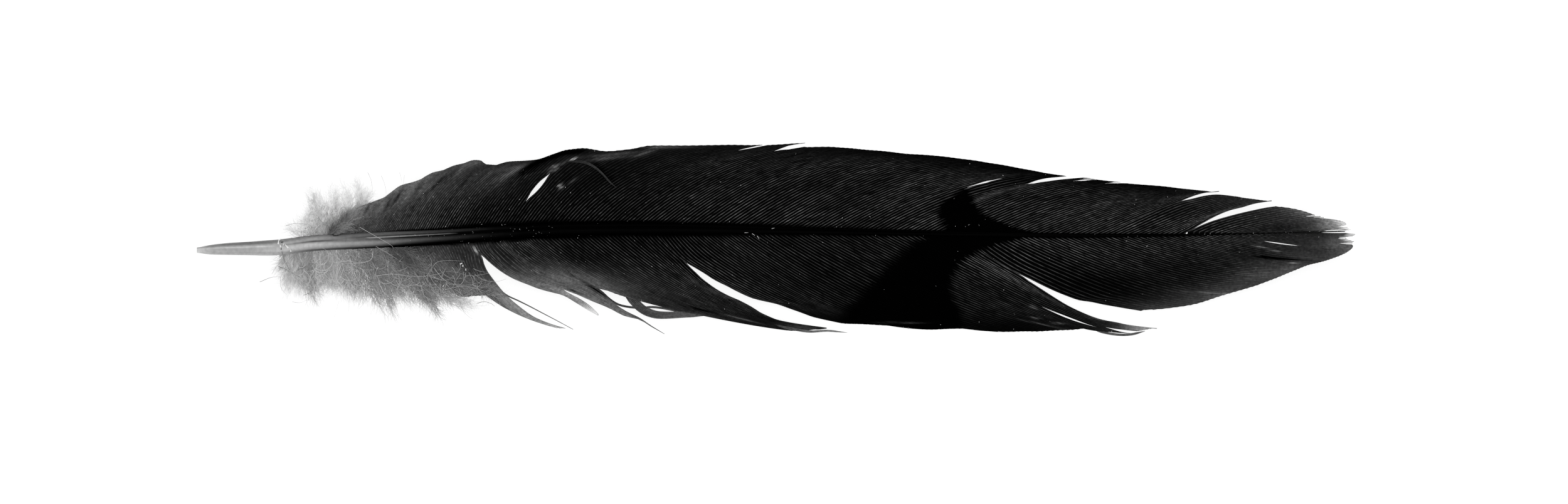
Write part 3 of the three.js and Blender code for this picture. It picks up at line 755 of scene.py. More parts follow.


# Painted light and shade of folds, lobes and loose strands, with the shadows beside them, and some streaks of
# the barbs' own paler or darker tone: middle, direction in degrees, half its length and width, and how much
# is added to the tone.
UPPER_SHADE_AND_TONE_STREAKS = [
    [-27.0, 10.7, 20, 0.5, 0.13, 210], [75.2, 2.0, -16, 2.4, 0.9, 25], [-33.0, 9.7, 33, 2.0, 0.6, -60],
    [-30.1, 11.1, 20, 1.9, 0.42, -60], [-27.3, 11.7, 5, 1.6, 0.3, -50], [-35.6, 8.9, 27, 3.2, 0.35, 38],
    [-35.8, 9.4, 14, 1.8, 0.22, 24], [-29.2, 9.9, 24, 1.9, 0.22, 50], [-29.9, 9.15, 25, 0.6, 0.15, 130],
    [-29.8, 9.7, 30, 0.35, 0.15, 130], [-21.6, 11.35, 5, 4.2, 0.2, 50], [-23.4, 10.75, 8, 2.2, 0.22, 46],
    [-20.6, 10.95, 7, 3.6, 0.18, 34], [-14.8, 12.3, 0, 3.6, 0.18, 55], [-33.4, 9.95, 26, 2.6, 0.2, 26],
    [-37.0, 7.6, 38, 3.2, 0.22, 22], [-17.4, 11.6, 25, 2.0, 0.25, 45], [-28.96, 7.0, 80, 0.35, 0.22, 190],
    [-28.7, 6.7, 60, 0.3, 0.12, 120], [-23.1, 8.9, -48, 1.9, 0.18, -60], [-27.2, 7.7, 40, 0.8, 0.14, 55],
    [-36.5, 8.6, 30, 3.0, 1.2, 12], [-55.1, 3.8, 62, 1.2, 0.16, -55], [-53.2, 4.2, 62, 1.5, 0.3, 20],
    [-52.2, 4.6, 62, 1.4, 0.18, -45], [-50.9, 5.6, 58, 1.7, 0.2, -45], [-49.1, 6.3, 55, 2.0, 0.36, 24],
    [-47.2, 7.1, 57, 1.6, 0.3, 30], [-45.0, 8.0, 45, 2.0, 0.2, -50], [-44.3, 8.7, 40, 1.6, 0.26, 34],
    [-42.5, 9.1, 50, 1.6, 0.32, 36], [-40.6, 10.2, 15, 1.2, 0.4, 34], [-38.7, 8.6, 45, 1.6, 0.3, 26],
    [-36.8, 9.5, 30, 1.2, 0.3, 16], [-48.2, 5.0, 60, 2.2, 0.2, -26], [-42.0, 7.4, 50, 2.0, 0.22, -30],
    [-46.4, 5.6, 56, 1.6, 0.2, 20],
]
LOWER_SHADE_AND_TONE_STREAKS = [
    [-40.3, -1.65, -50, 0.9, 0.1, 120], [4.4, -12.2, -6, 3.6, 0.6, 60], [66.3, -1.35, -14, 2.2, 0.1, 75],
    [49.8, -12.1, -6, 3.0, 0.8, 115], [17.0, -11.4, 0, 2.6, 0.08, 90], [75.5, -0.6, -4, 2.2, 0.9, 20],
    [-34.2, -9.9, -37, 3.4, 0.9, 26], [-29.6, -12.0, -30, 1.6, 0.5, 45], [-25.2, -9.7, -38, 1.8, 0.5, 45],
    [-27.6, -7.7, -22, 1.8, 0.3, 30], [-19.5, -10.6, -28, 3.6, 0.6, 26], [-39.6, -7.6, 5, 2.2, 0.5, -25],
    [-4.4, -10.9, -14, 2.4, 0.1, 75], [-11.6, -10.2, -4, 1.8, 0.14, 60], [-27.3, -7.0, -25, 1.2, 0.12, -80],
    [-24.0, -7.0, -31, 2.3, 0.22, -90], [-9.7, -9.7, -10, 1.6, 0.14, -50], [43.6, -10.9, -10, 1.4, 0.2, 40],
    [36.0, -11.6, -12, 3.2, 0.1, 60], [35.1, -9.4, -35, 0.4, 0.12, 160], [35.2, -10.8, 0, 0.5, 0.1, 100],
    [38.3, -11.5, 0, 0.9, 0.1, 90], [70.0, -3.35, 0, 0.5, 0.1, 90], [60.0, -7.35, -2, 4.5, 0.1, 50],
    [68.5, -2.75, -4, 3.6, 0.14, -70], [67.0, -2.6, -12, 1.6, 0.1, -60], [69.8, -4.0, 25, 1.4, 0.4, 20],
]


def add_shade_and_tone_streaks(tone, lines, shade_and_tone_streaks):
    for x, y, angle, half_length, half_width, more in shade_and_tone_streaks:
        ahead = np.array([math.cos(math.radians(angle)), math.sin(math.radians(angle))])
        off = lines - np.array([x, y])
        along = off @ ahead
        across = off @ np.array([-ahead[1], ahead[0]])
        tone = tone + more * np.exp(-((along / half_length) ** 2) - (across / half_width) ** 2)
    return np.maximum(tone, 0)


def in_patch(x, y, side, rng):
    """How far places on a vane (barbs, stations) lie in the black patch."""
    ragged = PATCH_RAGGED * rng.normal(size=(len(x), 1))
    soft = PATCH_LOWER_SOFT if side < 0 else PATCH_SOFT[0]
    begun = smooth_step(-soft, soft, x - (straight(PATCH, y, 1) + ragged))
    left = smooth_step(-PATCH_SOFT[1], PATCH_SOFT[1], straight(PATCH, y, 2) + ragged - x)
    return begun * left * (y < PATCH_TOP)


def vane_tones(lines, side, table, blend, shade_and_tone_streaks, rng):
    """Tones of a vane's barbs, in the order of barb_rings: web, foot, ramus, foot, web and back."""
    x, y = lines[..., 0], lines[..., 1]
    share = BARB_SHARES[None] * np.ones_like(x)
    ramus = band_tones(table, x, share, 1)
    web = band_tones(table, x, share, 4)
    even = band_tones(blend, x, share, 1)
    middle = BLEND_RAMUS * ramus + (1 - BLEND_RAMUS) * web
    ramus = ramus + (middle - ramus) * even
    web = web + (middle - web) * even
    from_shaft = side * (y - shaft_side(x)) - 0.5 * shaft_width(x)
    # painted shadow of the shaft: the vanes are darkened beside it
    shadow_reach = straight(SHAFT_SHADOW_REACH, x)
    out_of_shadow = smooth_step(shadow_reach - SHAFT_SHADOW_SOFT, shadow_reach + SHAFT_SHADOW_SOFT, from_shaft)
    inside = in_patch(x, y, side, rng)
    strength, weaker, least, most = BEADS
    beads = np.clip(1 + strength * rng.normal(size=x.shape) * (1 - weaker * even), least, most)
    shades = 1 + SHADES * soft_noise(rng, *x.shape, across=2.0, along=5.0)
    # painted light and shade of folds and strands, with some streaks of the barbs' own tone, added to ramus
    # and web
    ramus = add_shade_and_tone_streaks(ramus * out_of_shadow * beads * shades * (1 - PATCH_RAMUS * inside), lines, shade_and_tone_streaks)
    web = add_shade_and_tone_streaks(web * out_of_shadow * shades * (1 - inside), lines, shade_and_tone_streaks)
    foot = FOOT_RAMUS * ramus + (1 - FOOT_RAMUS) * web
    return np.stack([web, foot, ramus, foot, web, VANE_BACK + 0 * web], axis=-1)


# Openings between barbs: start, end and width.
UPPER_OPENINGS = [
    ((-33.4, 5.4), (-30.3, 8.35), 0.43), ((27.7, 7.28), (29.2, 7.7), 0.12), ((41.0, 7.8), (42.6, 7.98), 0.12),
    ((45.4, 7.35), (46.8, 7.5), 0.08), ((74.4, 0.8), (76.8, 1.3), 0.05),
]
LOWER_OPENINGS = [((66.3, -0.25), (70.4, -1.35), 0.07), ((37.3, -9.9), (42.0, -11.5), 0.1)]
WANDER = 0.03  # how far the barbs stray from their lines
FRAYED_LOOSE = 0.9  # how loose a fully frayed barb is
LOCK_STEP = 0.02  # how much higher every other lock lies


def make_vane(name, locks, splits, side, angles, pitch, courses, openings, loose_locks, table, blend, shade_and_tone_streaks):
    """One vane, with its barbs' middle lines (barbs, stations, 3) as the result."""
    rng = np.random.default_rng(SCENE_SEED + (1 if side > 0 else 2))
    roots = barb_roots(locks[0][0][0], locks[-1][-1][0], pitch)
    lines, lock_of = barb_lines(locks, side, *angles, roots)
    lines, torn = knit(lines, lock_of, splits)
    lines = lead(lines, torn, lock_of, courses)
    lines = gather(lines, lock_of, loose_locks)
    for start, end, width in openings:
        lines = open_gap(lines, torn, start, end, width)
    wander = WANDER * soft_noise(rng, *lines.shape[:2], across=1.5, along=6.0) * BARB_SHARES
    lines = lines + wander[..., None] * np.array([0.0, 1.0])
    lines, frayed = fray(lines, torn, rng)
    loose = np.maximum(FRAYED_LOOSE * frayed, np.isin(lock_of, loose_locks))
    heights = vane_heights(lines, roots) + LOCK_STEP * (lock_of % 2)[:, None]
    rings = barb_rings(lines, heights, torn, side, loose, rng)
    tones = vane_tones(lines, side, table, blend, shade_and_tone_streaks, rng)
    tubes(name, rings, tones, vane_material)
    return np.concatenate([lines, heights[..., None]], axis=-1)


upper_barbs = make_vane(
    "vane_upper", UPPER_LOCKS, UPPER_SPLITS, 1, (UPPER_ROOT_ANGLE, UPPER_EDGE_ANGLE), UPPER_PITCH,
    UPPER_COURSES, UPPER_OPENINGS, (), UPPER_TONES, UPPER_BLEND, UPPER_SHADE_AND_TONE_STREAKS,
)
lower_barbs = make_vane(
    "vane_lower", LOWER_LOCKS, LOWER_SPLITS, -1, (LOWER_ROOT_ANGLE, LOWER_EDGE_ANGLE), LOWER_PITCH,
    LOWER_COURSES, LOWER_OPENINGS, (1, 2), LOWER_TONES, LOWER_BLEND, LOWER_SHADE_AND_TONE_STREAKS,
)

# Loose ribbons of barbs over or beside the vanes: points along it, then its height over the surface, width
# and tone at both ends, and how many barbs it holds.
RIBBONS = [
    ("ribbon_line", [
        (-28.5, -3.9), (-27.1, -5.1), (-25.8, -5.85), (-24.5, -6.5), (-23.4, -7.2), (-22.3, -8.2),
        (-21.2, -8.9), (-19.9, -9.25), (-18.2, -9.4), (-16.5, -9.3), (-14.8, -9.5), (-13.1, -9.9),
        (-11.8, -10.15),
    ], (1.75, 0.95), (0.28, 0.3), (75, 100), 3),
    ("ribbon_bent", [
        (-21.9, -5.6), (-21.2, -6.4), (-19.9, -7.4), (-19.0, -8.45), (-18.2, -9.3), (-17.3, -9.9),
        (-16.1, -10.3), (-14.8, -10.4), (-13.1, -10.35), (-11.4, -10.3), (-8.9, -10.4),
    ], (1.2, 0.85), (1.5, 0.65), (80, 125), 6),
    ("ribbon_tail", [
        (-0.4, -11.55), (1.3, -12.0), (3.0, -12.35), (4.8, -12.6), (7.2, -12.5), (9.8, -12.75),
    ], (0.6, 0.45), (0.45, 0.2), (80, 160), 3),
    ("ribbon_low", [
        (42.2, -11.9), (44.0, -12.6), (46.1, -13.0), (48.0, -13.0), (50.0, -12.55),
    ], (0.3, 0.35), (0.35, 0.3), (85, 135), 3),
    ("ribbon_side", [
        (-37.2, -6.9), (-36.0, -7.75), (-34.6, -8.4), (-33.0, -9.2), (-31.3, -10.1), (-29.4, -11.1),
        (-27.2, -12.3),
    ], (1.6, 1.0), (0.3, 0.16), (100, 150), 1),
    ("ribbon_fold", [
        (-28.0, 10.3), (-26.3, 10.35), (-25.1, 10.05), (-24.1, 9.45), (-23.1, 8.55), (-22.2, 7.55),
        (-21.3, 6.8),
    ], (1.75, 1.85), (0.45, 0.15), (48, 75), 3),
]
RIBBON_SHAPE = [[0, 0.15], [0.25, 1], [0.85, 1], [1, 0.15]]  # share of its length, share of its width
# the ramus' larger share is partly a painted highlight, as on the vanes
RIBBON_TONES = (0.85, 0.8, 1.15, 0.8, 0.85, 0.6)  # shares of its tone, in the order of barb_rings
RIBBON_SHADES = 0.06


def make_ribbon(name, points, height, width, tone, count, rng):
    """A bundle of barbs, or a single thread where count is one."""
    curve = along_points(points, BARB_STATIONS)
    forward = unit(np.gradient(curve, axis=0))
    left = np.stack([-forward[:, 1], forward[:, 0]], axis=1)
    share = np.linspace(0, 1, BARB_STATIONS)
    broad = np.linspace(*width, BARB_STATIONS) * straight(RIBBON_SHAPE, share)
    place = (np.arange(count) - (count - 1) / 2) / max(count, 2)
    lines = curve[None] + (place[:, None] * broad[None])[..., None] * left[None]
    heights = np.linspace(*height, BARB_STATIONS)[None] * np.ones((count, 1))
    shade = np.linspace(*tone, BARB_STATIONS)[None]
    if count > 1:
        torn = np.zeros((count - 1, BARB_STATIONS), bool)
        rings = barb_rings(lines, heights, torn, 1, np.zeros(count), rng)
        shade = shade * (1 + RIBBON_SHADES * soft_noise(rng, *lines.shape[:2], across=0.6, along=3.0))
        tones = shade[..., None] * np.array(RIBBON_TONES)
    else:
        rings = thread_rings(np.concatenate([lines, heights[..., None]], axis=-1), 0.5 * width[0])
        tones = shade[..., None] * np.ones(rings.shape[:3])
    tubes(name, rings, tones, vane_material)


ribbon_rng = np.random.default_rng(RIBBON_SEED)
for ribbon in RIBBONS:
    make_ribbon(*ribbon, ribbon_rng)

# ---------------------------------------------------------------- shaft

SHAFT_STATIONS = 260
SHAFT_END = 77.0
# Round the shaft from its upper side over the inner face to its lower side: shares of its width and height.
GROOVED_FACE = [
    [0.5, 0.4], [0.46, 0.62], [0.4, 0.82], [0.33, 0.94], [0.27, 0.97], [0.22, 0.93], [0.17, 0.87],
    [0.11, 0.84], [0.05, 0.87], [-0.01, 0.95], [-0.09, 1.0], [-0.18, 0.99], [-0.26, 0.95], [-0.33, 0.86],
    [-0.4, 0.76], [-0.46, 0.6], [-0.5, 0.4],
]
BACK_FACE = [[-0.47, 0.22], [-0.38, 0.07], [-0.28, 0.0], [0.0, 0.0], [0.28, 0.0], [0.38, 0.07], [0.47, 0.22]]
# How deep the groove is along the shaft, how low the inner face ends at the sides where there is no groove,
# and how thick the shaft is towards its tip, as a share of the solid's thickness.
GROOVE = [[-70, 0], [-64, 1], [20, 1], [50, 0]]
SMOOTH_SIDE = 0.4
SLIMMER = [[30, 1.0], [55, 0.8], [70, 0.6], [77, 0.35]]

# Tones along the shaft: upper ridge, bottom of the groove, lower ridge, dark line at the lower side, the
# rest. The first four are bands: their middle and half width, as shares of the shaft's width.
SHAFT_BANDS = [(0.37, 0.14), (0.11, 0.07), (-0.15, 0.2), (-0.43, 0.08)]
SHAFT_TONES = [
    [-78, 215, 205, 215, 210, 210], [-76, 166, 196, 184, 186, 172], [-73, 156, 212, 182, 190, 168],
    [-69, 162, 226, 186, 196, 178], [-66, 185, 165, 205, 175, 185], [-62, 185, 62, 196, 90, 160],
    [-58, 160, 120, 155, 60, 120], [-54, 130, 95, 130, 25, 85], [-50, 108, 20, 96, 5, 50],
    [-46, 76, 6, 62, 2, 24], [-42, 46, 2, 34, 2, 10], [-38, 16, 2, 12, 2, 3], [-34, 2, 1, 2, 1, 1],
    [60, 1, 1, 1, 1, 1], [70, 14, 10, 14, 10, 12], [77, 90, 80, 90, 80, 90],
]
GLINT = [[-56.5, 0], [-54.5, 190], [-50.5, 200], [-48, 170], [-43.6, 110], [-42.6, 0]]
GLINT_BAND = (0.17, 0.045)
STREAKS = 0.11  # how much the horn's tone varies, where it is pale
PALE_HORN = (-34, -60)
# Dark flecks at the quill's end: how dark, how strong a streak has to be for one, and where they are.
FLECKS = (14, 0.5)
FLECKED = (-71, -75)
SHAFT_BACK = (40, 110)  # tone of the shaft's back, and how much paler the quill's is
PALE_BACK = (-50, -66)


def band_at(a, middle, half):
    return np.clip(1 - ((a - middle) / half) ** 2, 0, 1)


def shaft_tones(x, a):
    tone = straight(SHAFT_TONES, x, len(SHAFT_BANDS) + 1)
    for column, band in enumerate(SHAFT_BANDS, 1):
        tone = tone + (straight(SHAFT_TONES, x, column) - tone) * band_at(a, *band)
    return np.maximum(tone, straight(GLINT, x) * band_at(a, *GLINT_BAND))


def make_shaft():
    rng = np.random.default_rng(SCENE_SEED)
    x = np.linspace(QUILL_END, SHAFT_END, SHAFT_STATIONS)[:, None]
    around = np.array(GROOVED_FACE + BACK_FACE)[None]
    a = around[..., 0] + 0 * x
    inner = (np.arange(around.shape[1]) < len(GROOVED_FACE))[None]
    smooth = np.maximum(0.5 + 0.5 * np.sqrt(np.clip(1 - (2 * a) ** 2, 0, 1)), SMOOTH_SIDE)
    deep = straight(GROOVE, x)
    up = np.where(inner, around[..., 1] * deep + smooth * (1 - deep), around[..., 1])
    size = straight(SLIMMER, x)
    side = shaft_side(x) + a * shaft_width(x) * size
    height = back_height(x) + up * shaft_height(x) * size
    streaks = soft_noise(rng, around.shape[1], SHAFT_STATIONS, across=1.0, along=8.0).T
    tones = shaft_tones(x + 0 * a, a) * (1 + STREAKS * streaks * smooth_step(*PALE_HORN, x))
    tones = tones - FLECKS[0] * smooth_step(*FLECKED, x) * (streaks > FLECKS[1])
    tones = np.where(inner, tones, SHAFT_BACK[0] + SHAFT_BACK[1] * smooth_step(*PALE_BACK, x))
    tubes("shaft", np.stack([x + 0 * a, side, height], axis=-1)[None], tones[None], shaft_material)


make_shaft()

# ---------------------------------------------------------------- down

THREAD_STATIONS = 5
WISP_STATIONS = 16

# Plumes of down: root, middle and tip, height of the last two over the surface, half the width, tone at root
# and tip, and how many fibres it has.
UPPER_PLUMES = [
    ([(-59.4, 0.3), (-57.9, 2.2), (-56.0, 4.3)], (4.2, 4.3), 0.22, 130, 76, 150),
    ([(-60.4, 0.2), (-59.2, 1.2), (-57.4, 2.0)], (4.2, 4.3), 0.3, 126, 76, 150),
    ([(-60.2, 0.0), (-61.2, 4.2), (-63.5, 7.1)], (3.6, 4.0), 0.6, 196, 238, 280),
    ([(-61.0, 0.0), (-61.9, 3.2), (-62.9, 6.2)], (3.4, 4.0), 0.5, 196, 236, 170),
    ([(-60.2, 0.0), (-60.4, 3.5), (-60.2, 5.4)], (3.6, 4.2), 0.8, 200, 244, 220),
    ([(-59.6, 0.0), (-59.2, 4.4), (-59.9, 7.9)], (3.6, 4.2), 0.4, 192, 238, 200),
    ([(-58.9, 0.0), (-57.6, 4.8), (-58.6, 7.9)], (3.4, 4.2), 0.5, 198, 244, 210),
    ([(-58.2, 0.2), (-55.9, 4.6), (-56.8, 8.5)], (3.0, 4.0), 0.4, 180, 228, 300),
    ([(-57.6, 1.2), (-55.3, 5.0), (-55.0, 6.9)], (2.7, 3.8), 0.3, 184, 226, 170),
    ([(-60.6, 0.0), (-58.9, 2.1), (-57.4, 3.5)], (2.7, 2.7), 0.6, 138, 128, 260),
    ([(-59.8, 0.0), (-58.2, 1.7), (-56.6, 3.1)], (2.6, 2.6), 0.5, 114, 86, 260),
    ([(-61.0, 0.0), (-60.0, 2.0), (-58.6, 4.2)], (3.0, 3.6), 0.8, 152, 200, 280),
    ([(-62.2, -0.2), (-63.0, 1.6), (-64.4, 1.3)], (3.4, 3.2), 0.6, 185, 225, 150),
    ([(-61.4, 0.0), (-62.6, 2.4), (-62.0, 3.6)], (3.5, 3.6), 0.8, 174, 212, 240),
    ([(-63.6, -0.2), (-64.8, 1.1), (-66.4, 1.6)], (3.4, 3.2), 0.3, 205, 240, 55),
]
LOWER_PLUMES = [
    ([(-65.6, -1.2), (-66.2, -3.0), (-66.6, -4.6)], (3.0, 2.4), 0.3, 160, 205, 110),
    ([(-65.0, -1.1), (-65.6, -3.8), (-65.9, -6.4)], (3.2, 2.4), 0.45, 180, 212, 220),
    ([(-64.9, -1.0), (-65.3, -4.5), (-65.8, -7.8)], (3.2, 2.2), 0.6, 172, 204, 300),
    ([(-64.0, -0.9), (-64.2, -4.9), (-63.6, -7.9)], (3.2, 2.2), 0.8, 176, 192, 370),
    ([(-63.0, -0.8), (-63.2, -4.8), (-61.9, -9.2)], (3.2, 2.0), 0.7, 166, 146, 420),
    ([(-61.9, -0.7), (-61.3, -4.6), (-61.2, -7.7)], (3.2, 2.2), 1.0, 180, 172, 420),
    ([(-60.7, -0.6), (-60.2, -4.4), (-59.6, -7.3)], (3.1, 2.2), 1.0, 184, 186, 430),
    ([(-59.4, -0.6), (-58.6, -4.6), (-57.9, -8.2)], (3.1, 2.2), 1.0, 180, 184, 430),
    ([(-58.2, -0.5), (-56.9, -4.8), (-56.0, -8.9)], (3.1, 2.0), 1.2, 158, 156, 520),
    ([(-57.0, -0.5), (-55.2, -5.0), (-53.7, -9.5)], (3.0, 1.9), 1.2, 140, 138, 540),
    ([(-55.8, -0.4), (-53.6, -5.4), (-51.1, -11.4)], (3.0, 1.7), 1.0, 134, 138, 540),
    ([(-54.8, -0.4), (-52.6, -4.6), (-50.6, -8.8)], (2.8, 1.7), 1.2, 130, 138, 500),
    ([(-53.6, -0.4), (-51.2, -4.8), (-48.8, -9.6)], (2.8, 1.7), 1.2, 122, 136, 540),
    ([(-52.6, -0.8), (-49.6, -4.8), (-46.7, -9.5)], (2.8, 1.8), 1.0, 114, 136, 560),
    ([(-51.9, -2.0), (-48.4, -6.0), (-44.7, -11.2)], (2.6, 1.8), 0.7, 106, 120, 540),
    ([(-51.0, -3.2), (-47.8, -6.0), (-44.4, -8.9)], (2.5, 1.8), 0.8, 110, 128, 420),
    ([(-50.5, -2.8), (-47.0, -4.9), (-43.0, -8.3)], (2.6, 2.0), 0.8, 98, 98, 480),
    ([(-48.6, -3.2), (-45.2, -5.2), (-41.4, -7.6)], (2.6, 2.0), 0.7, 94, 86, 400),
    ([(-46.4, -3.8), (-43.6, -5.3), (-39.8, -7.1)], (2.5, 2.0), 0.5, 92, 76, 280),
    ([(-42.6, -5.0), (-39.6, -6.8), (-36.6, -8.6)], (2.2, 1.6), 0.3, 96, 112, 110),
    ([(-45.6, -7.0), (-42.6, -8.5), (-39.4, -9.2)], (2.0, 1.6), 0.5, 160, 225, 170),
    ([(-52.6, -0.8), (-50.0, -2.5), (-46.4, -4.7)], (3.4, 3.2), 0.6, 98, 62, 380),
]
NEAR_PLUMES = 10  # how many of the lower plumes are in the piece near the quill's end
BARBS_A_PLUME = 24
BARB_POINTS = 14
PLUME_ROOT = 0.4  # how high on the shaft a plume starts, as a share of its height
FAN = 1.25  # how far to either side a plume's barbs go, in halves of its width
PLUME_WIDTH = [[0, 0.6], [0.4, 1.0], [0.75, 1.0], [1, 0.55]]
# How much shorter the outer barbs are: at least, and how much more at random. Then how much any barb may be.
SHORTER = (0.05, 0.26, 0.1)
WAVE = 0.16  # how far a barb swings to the side
WAVES = 0.7  # the fewest waves on a barb
BARB_RISE = 0.25  # how much a barb's end rises or sinks
# Barbules of down, and the felt of short broad ones that lies under them: half the thickness, length, how far
# under the barb they start, how far out on the barbs they go, widest angle with the barb, how far they fade
# to pale, and how many there are for each of a plume's numbers.
BARBULES = (0.018, 2.0, 0.0, 0.98, 0.95, 0.25, 1.15)
FELT = (0.05, 1.2, 0.35, 0.85, 1.4, 0.3, 0.95)
SUNK_AT = 0.2  # share of a barb's length at which the felt is fully under it
FIRST_BARBULE = 0.02
CROWDING = 0.9  # an even spread of barbules along a barb is 1
LEAN = 0.25  # smallest angle with the barb, in radians
LEAN_ALONG = [[0, 1.0], [0.7, 0.9], [1, 0.5]]
LENGTH_RANGE = (0.5, 1.5)
LENGTH_ALONG = [[0, 1.0], [0.6, 1.0], [1, 0.7]]
CURL_BACK = 0.9  # how far a barbule turns back to its barb's direction
CURL_RANDOM = 0.7
BARBULE_RISE = 0.22  # how much its end rises or sinks
LOWEST_DOWN = 0.12
BARB_SHADES = 0.05  # how much the barbs' tones differ
# painted shade between the plumes
PLUME_EDGE_SHADE = 0.05  # how much darker the outer ones are
BARBULE_SHADES = 4  # tones by which the barbules differ
DOWN_FILL = 1.22  # how much lighter a fibre is than the cloud that it shades
PALE = 240  # tone that the ends of the barbules fade to
PALE_ENDS = 0.32  # how far the ends of the barbs fade to that tone
PALE_FROM = 0.5  # share of a barb's length at which that begins
# Down may lie in the shaft under this share of its height, and up to this share of its width past its middle.
UNDER_SHAFT = (0.6, 0.3)


def plume_barbs(rng, plume):
    """The lines of a plume's barbs (barbs, points, 3), fanned out from its root, and their places across."""
    places, heights, half_width, *_ = plume
    root_height = back_height(places[0][0]) + PLUME_ROOT * float(shaft_height(places[0][0]))
    points = [(*place, rise) for place, rise in zip(places, (root_height, *heights))]
    middle = along_points(points, BARB_POINTS)
    forward = unit(np.gradient(middle[:, :2], axis=0))
    left = np.stack([-forward[:, 1], forward[:, 0], 0 * forward[:, 0]], axis=1)
    share = np.linspace(0, 1, BARB_POINTS)
    broad = half_width * straight(PLUME_WIDTH, share)
    across = rng.uniform(-FAN, FAN, BARBS_A_PLUME)
    outer, random_outer, random_any = SHORTER
    reach = 1 - (outer + random_outer * rng.random(BARBS_A_PLUME)) * np.abs(across)
    reach = reach - random_any * rng.random(BARBS_A_PLUME)
    barbs = []
    for off, far in zip(across, reach):
        wave = WAVE * np.sin(2 * math.pi * (rng.random() + share * (WAVES + rng.random())))
        line = middle + (off * broad + wave * share)[:, None] * left
        line[:, 2] += BARB_RISE * rng.normal() * share
        at = share * far * (BARB_POINTS - 1)
        point = np.arange(BARB_POINTS)
        barbs.append(np.stack([np.interp(at, point, line[:, axis]) for axis in range(3)], axis=1))
    return np.array(barbs), across


def walk(start, turn, stride):
    """Plan paths from start (threads, 2), by equal strides in the directions of turn (threads, stations)."""
    x = start[:, :1] + np.cumsum(np.cos(turn) * stride, axis=1)
    y = start[:, 1:] + np.cumsum(np.sin(turn) * stride, axis=1)
    return x, y


def barbules(rng, plume, kind):
    """Paths (threads, stations, 3) and tones of the barbules on both sides of a plume's barbs."""
    _, usual_length, under, furthest, widest, fade, number = kind
    *_, root_tone, tip_tone, count = plume
    barbs, across = plume_barbs(rng, plume)
    count = int(count * number)
    barb = rng.integers(len(barbs), size=count)
    share = FIRST_BARBULE + (furthest - FIRST_BARBULE) * rng.random(count) ** CROWDING
    at = share * (BARB_POINTS - 1)
    low = np.minimum(at.astype(int), BARB_POINTS - 2)
    step = barbs[barb, low + 1] - barbs[barb, low]
    start = barbs[barb, low] + (at - low)[:, None] * step
    start[:, 2] -= under * smooth_step(0, SUNK_AT, share)
    way = rng.choice([-1.0, 1.0], count)
    lean = way * rng.uniform(LEAN, widest, count) * straight(LEAN_ALONG, share)
    length = usual_length * rng.uniform(*LENGTH_RANGE, count) * straight(LENGTH_ALONG, share)
    curl = -CURL_BACK * lean + CURL_RANDOM * rng.normal(size=count)
    steps = np.linspace(0, 1, THREAD_STATIONS)[None]
    turn = (np.arctan2(step[:, 1], step[:, 0]) + lean)[:, None] + curl[:, None] * steps
    stride = (length / (THREAD_STATIONS - 1))[:, None]
    x, y = walk(start[:, :2], turn, stride)
    x -= np.cos(turn[:, :1]) * stride
    y -= np.sin(turn[:, :1]) * stride
    z = start[:, 2:] + BARBULE_RISE * rng.normal(size=(count, 1)) * steps
    # a plume's outer barbs are darkened: painted shade between plumes
    shade = 1 + BARB_SHADES * rng.normal(size=len(barbs)) - PLUME_EDGE_SHADE * across**2
    tone = (root_tone + (tip_tone - root_tone) * share) * shade[barb]
    tone += BARBULE_SHADES * rng.normal(size=count)
    tone += PALE_ENDS * (PALE - tone) * smooth_step(PALE_FROM, 1, share)
    tones = DOWN_FILL * (tone[:, None] + (PALE - tone[:, None]) * fade * steps**2)
    return np.stack([x, y, np.maximum(z, LOWEST_DOWN)], axis=-1), tones


def make_down(name, plumes, side, seed):
    for suffix, kind in (("", BARBULES), ("_felt", FELT)):
        rng = np.random.default_rng(SCENE_SEED + seed)
        made = [barbules(rng, plume, kind) for plume in plumes]
        paths, tones = (np.concatenate(parts) for parts in zip(*made))
        x, y, z = (paths[..., axis] for axis in range(3))
        out = side * (y - shaft_side(x))
        low_enough = z < back_height(x) + UNDER_SHAFT[0] * shaft_height(x)
        inside = low_enough & (out > -UNDER_SHAFT[1] * shaft_width(x))
        clear = np.all((out > 0.5 * shaft_width(x)) | inside, axis=1)
        rings = thread_rings(paths[clear], kind[0])
        shade = tones[clear][..., None] * np.ones(3)
        tubes(name + suffix, rings, shade, down_material)


make_down("down_upper", UPPER_PLUMES, side=1, seed=20)
make_down("down_lower_near", LOWER_PLUMES[:NEAR_PLUMES], side=-1, seed=30)
make_down("down_lower_far", LOWER_PLUMES[NEAR_PLUMES:], side=-1, seed=40)

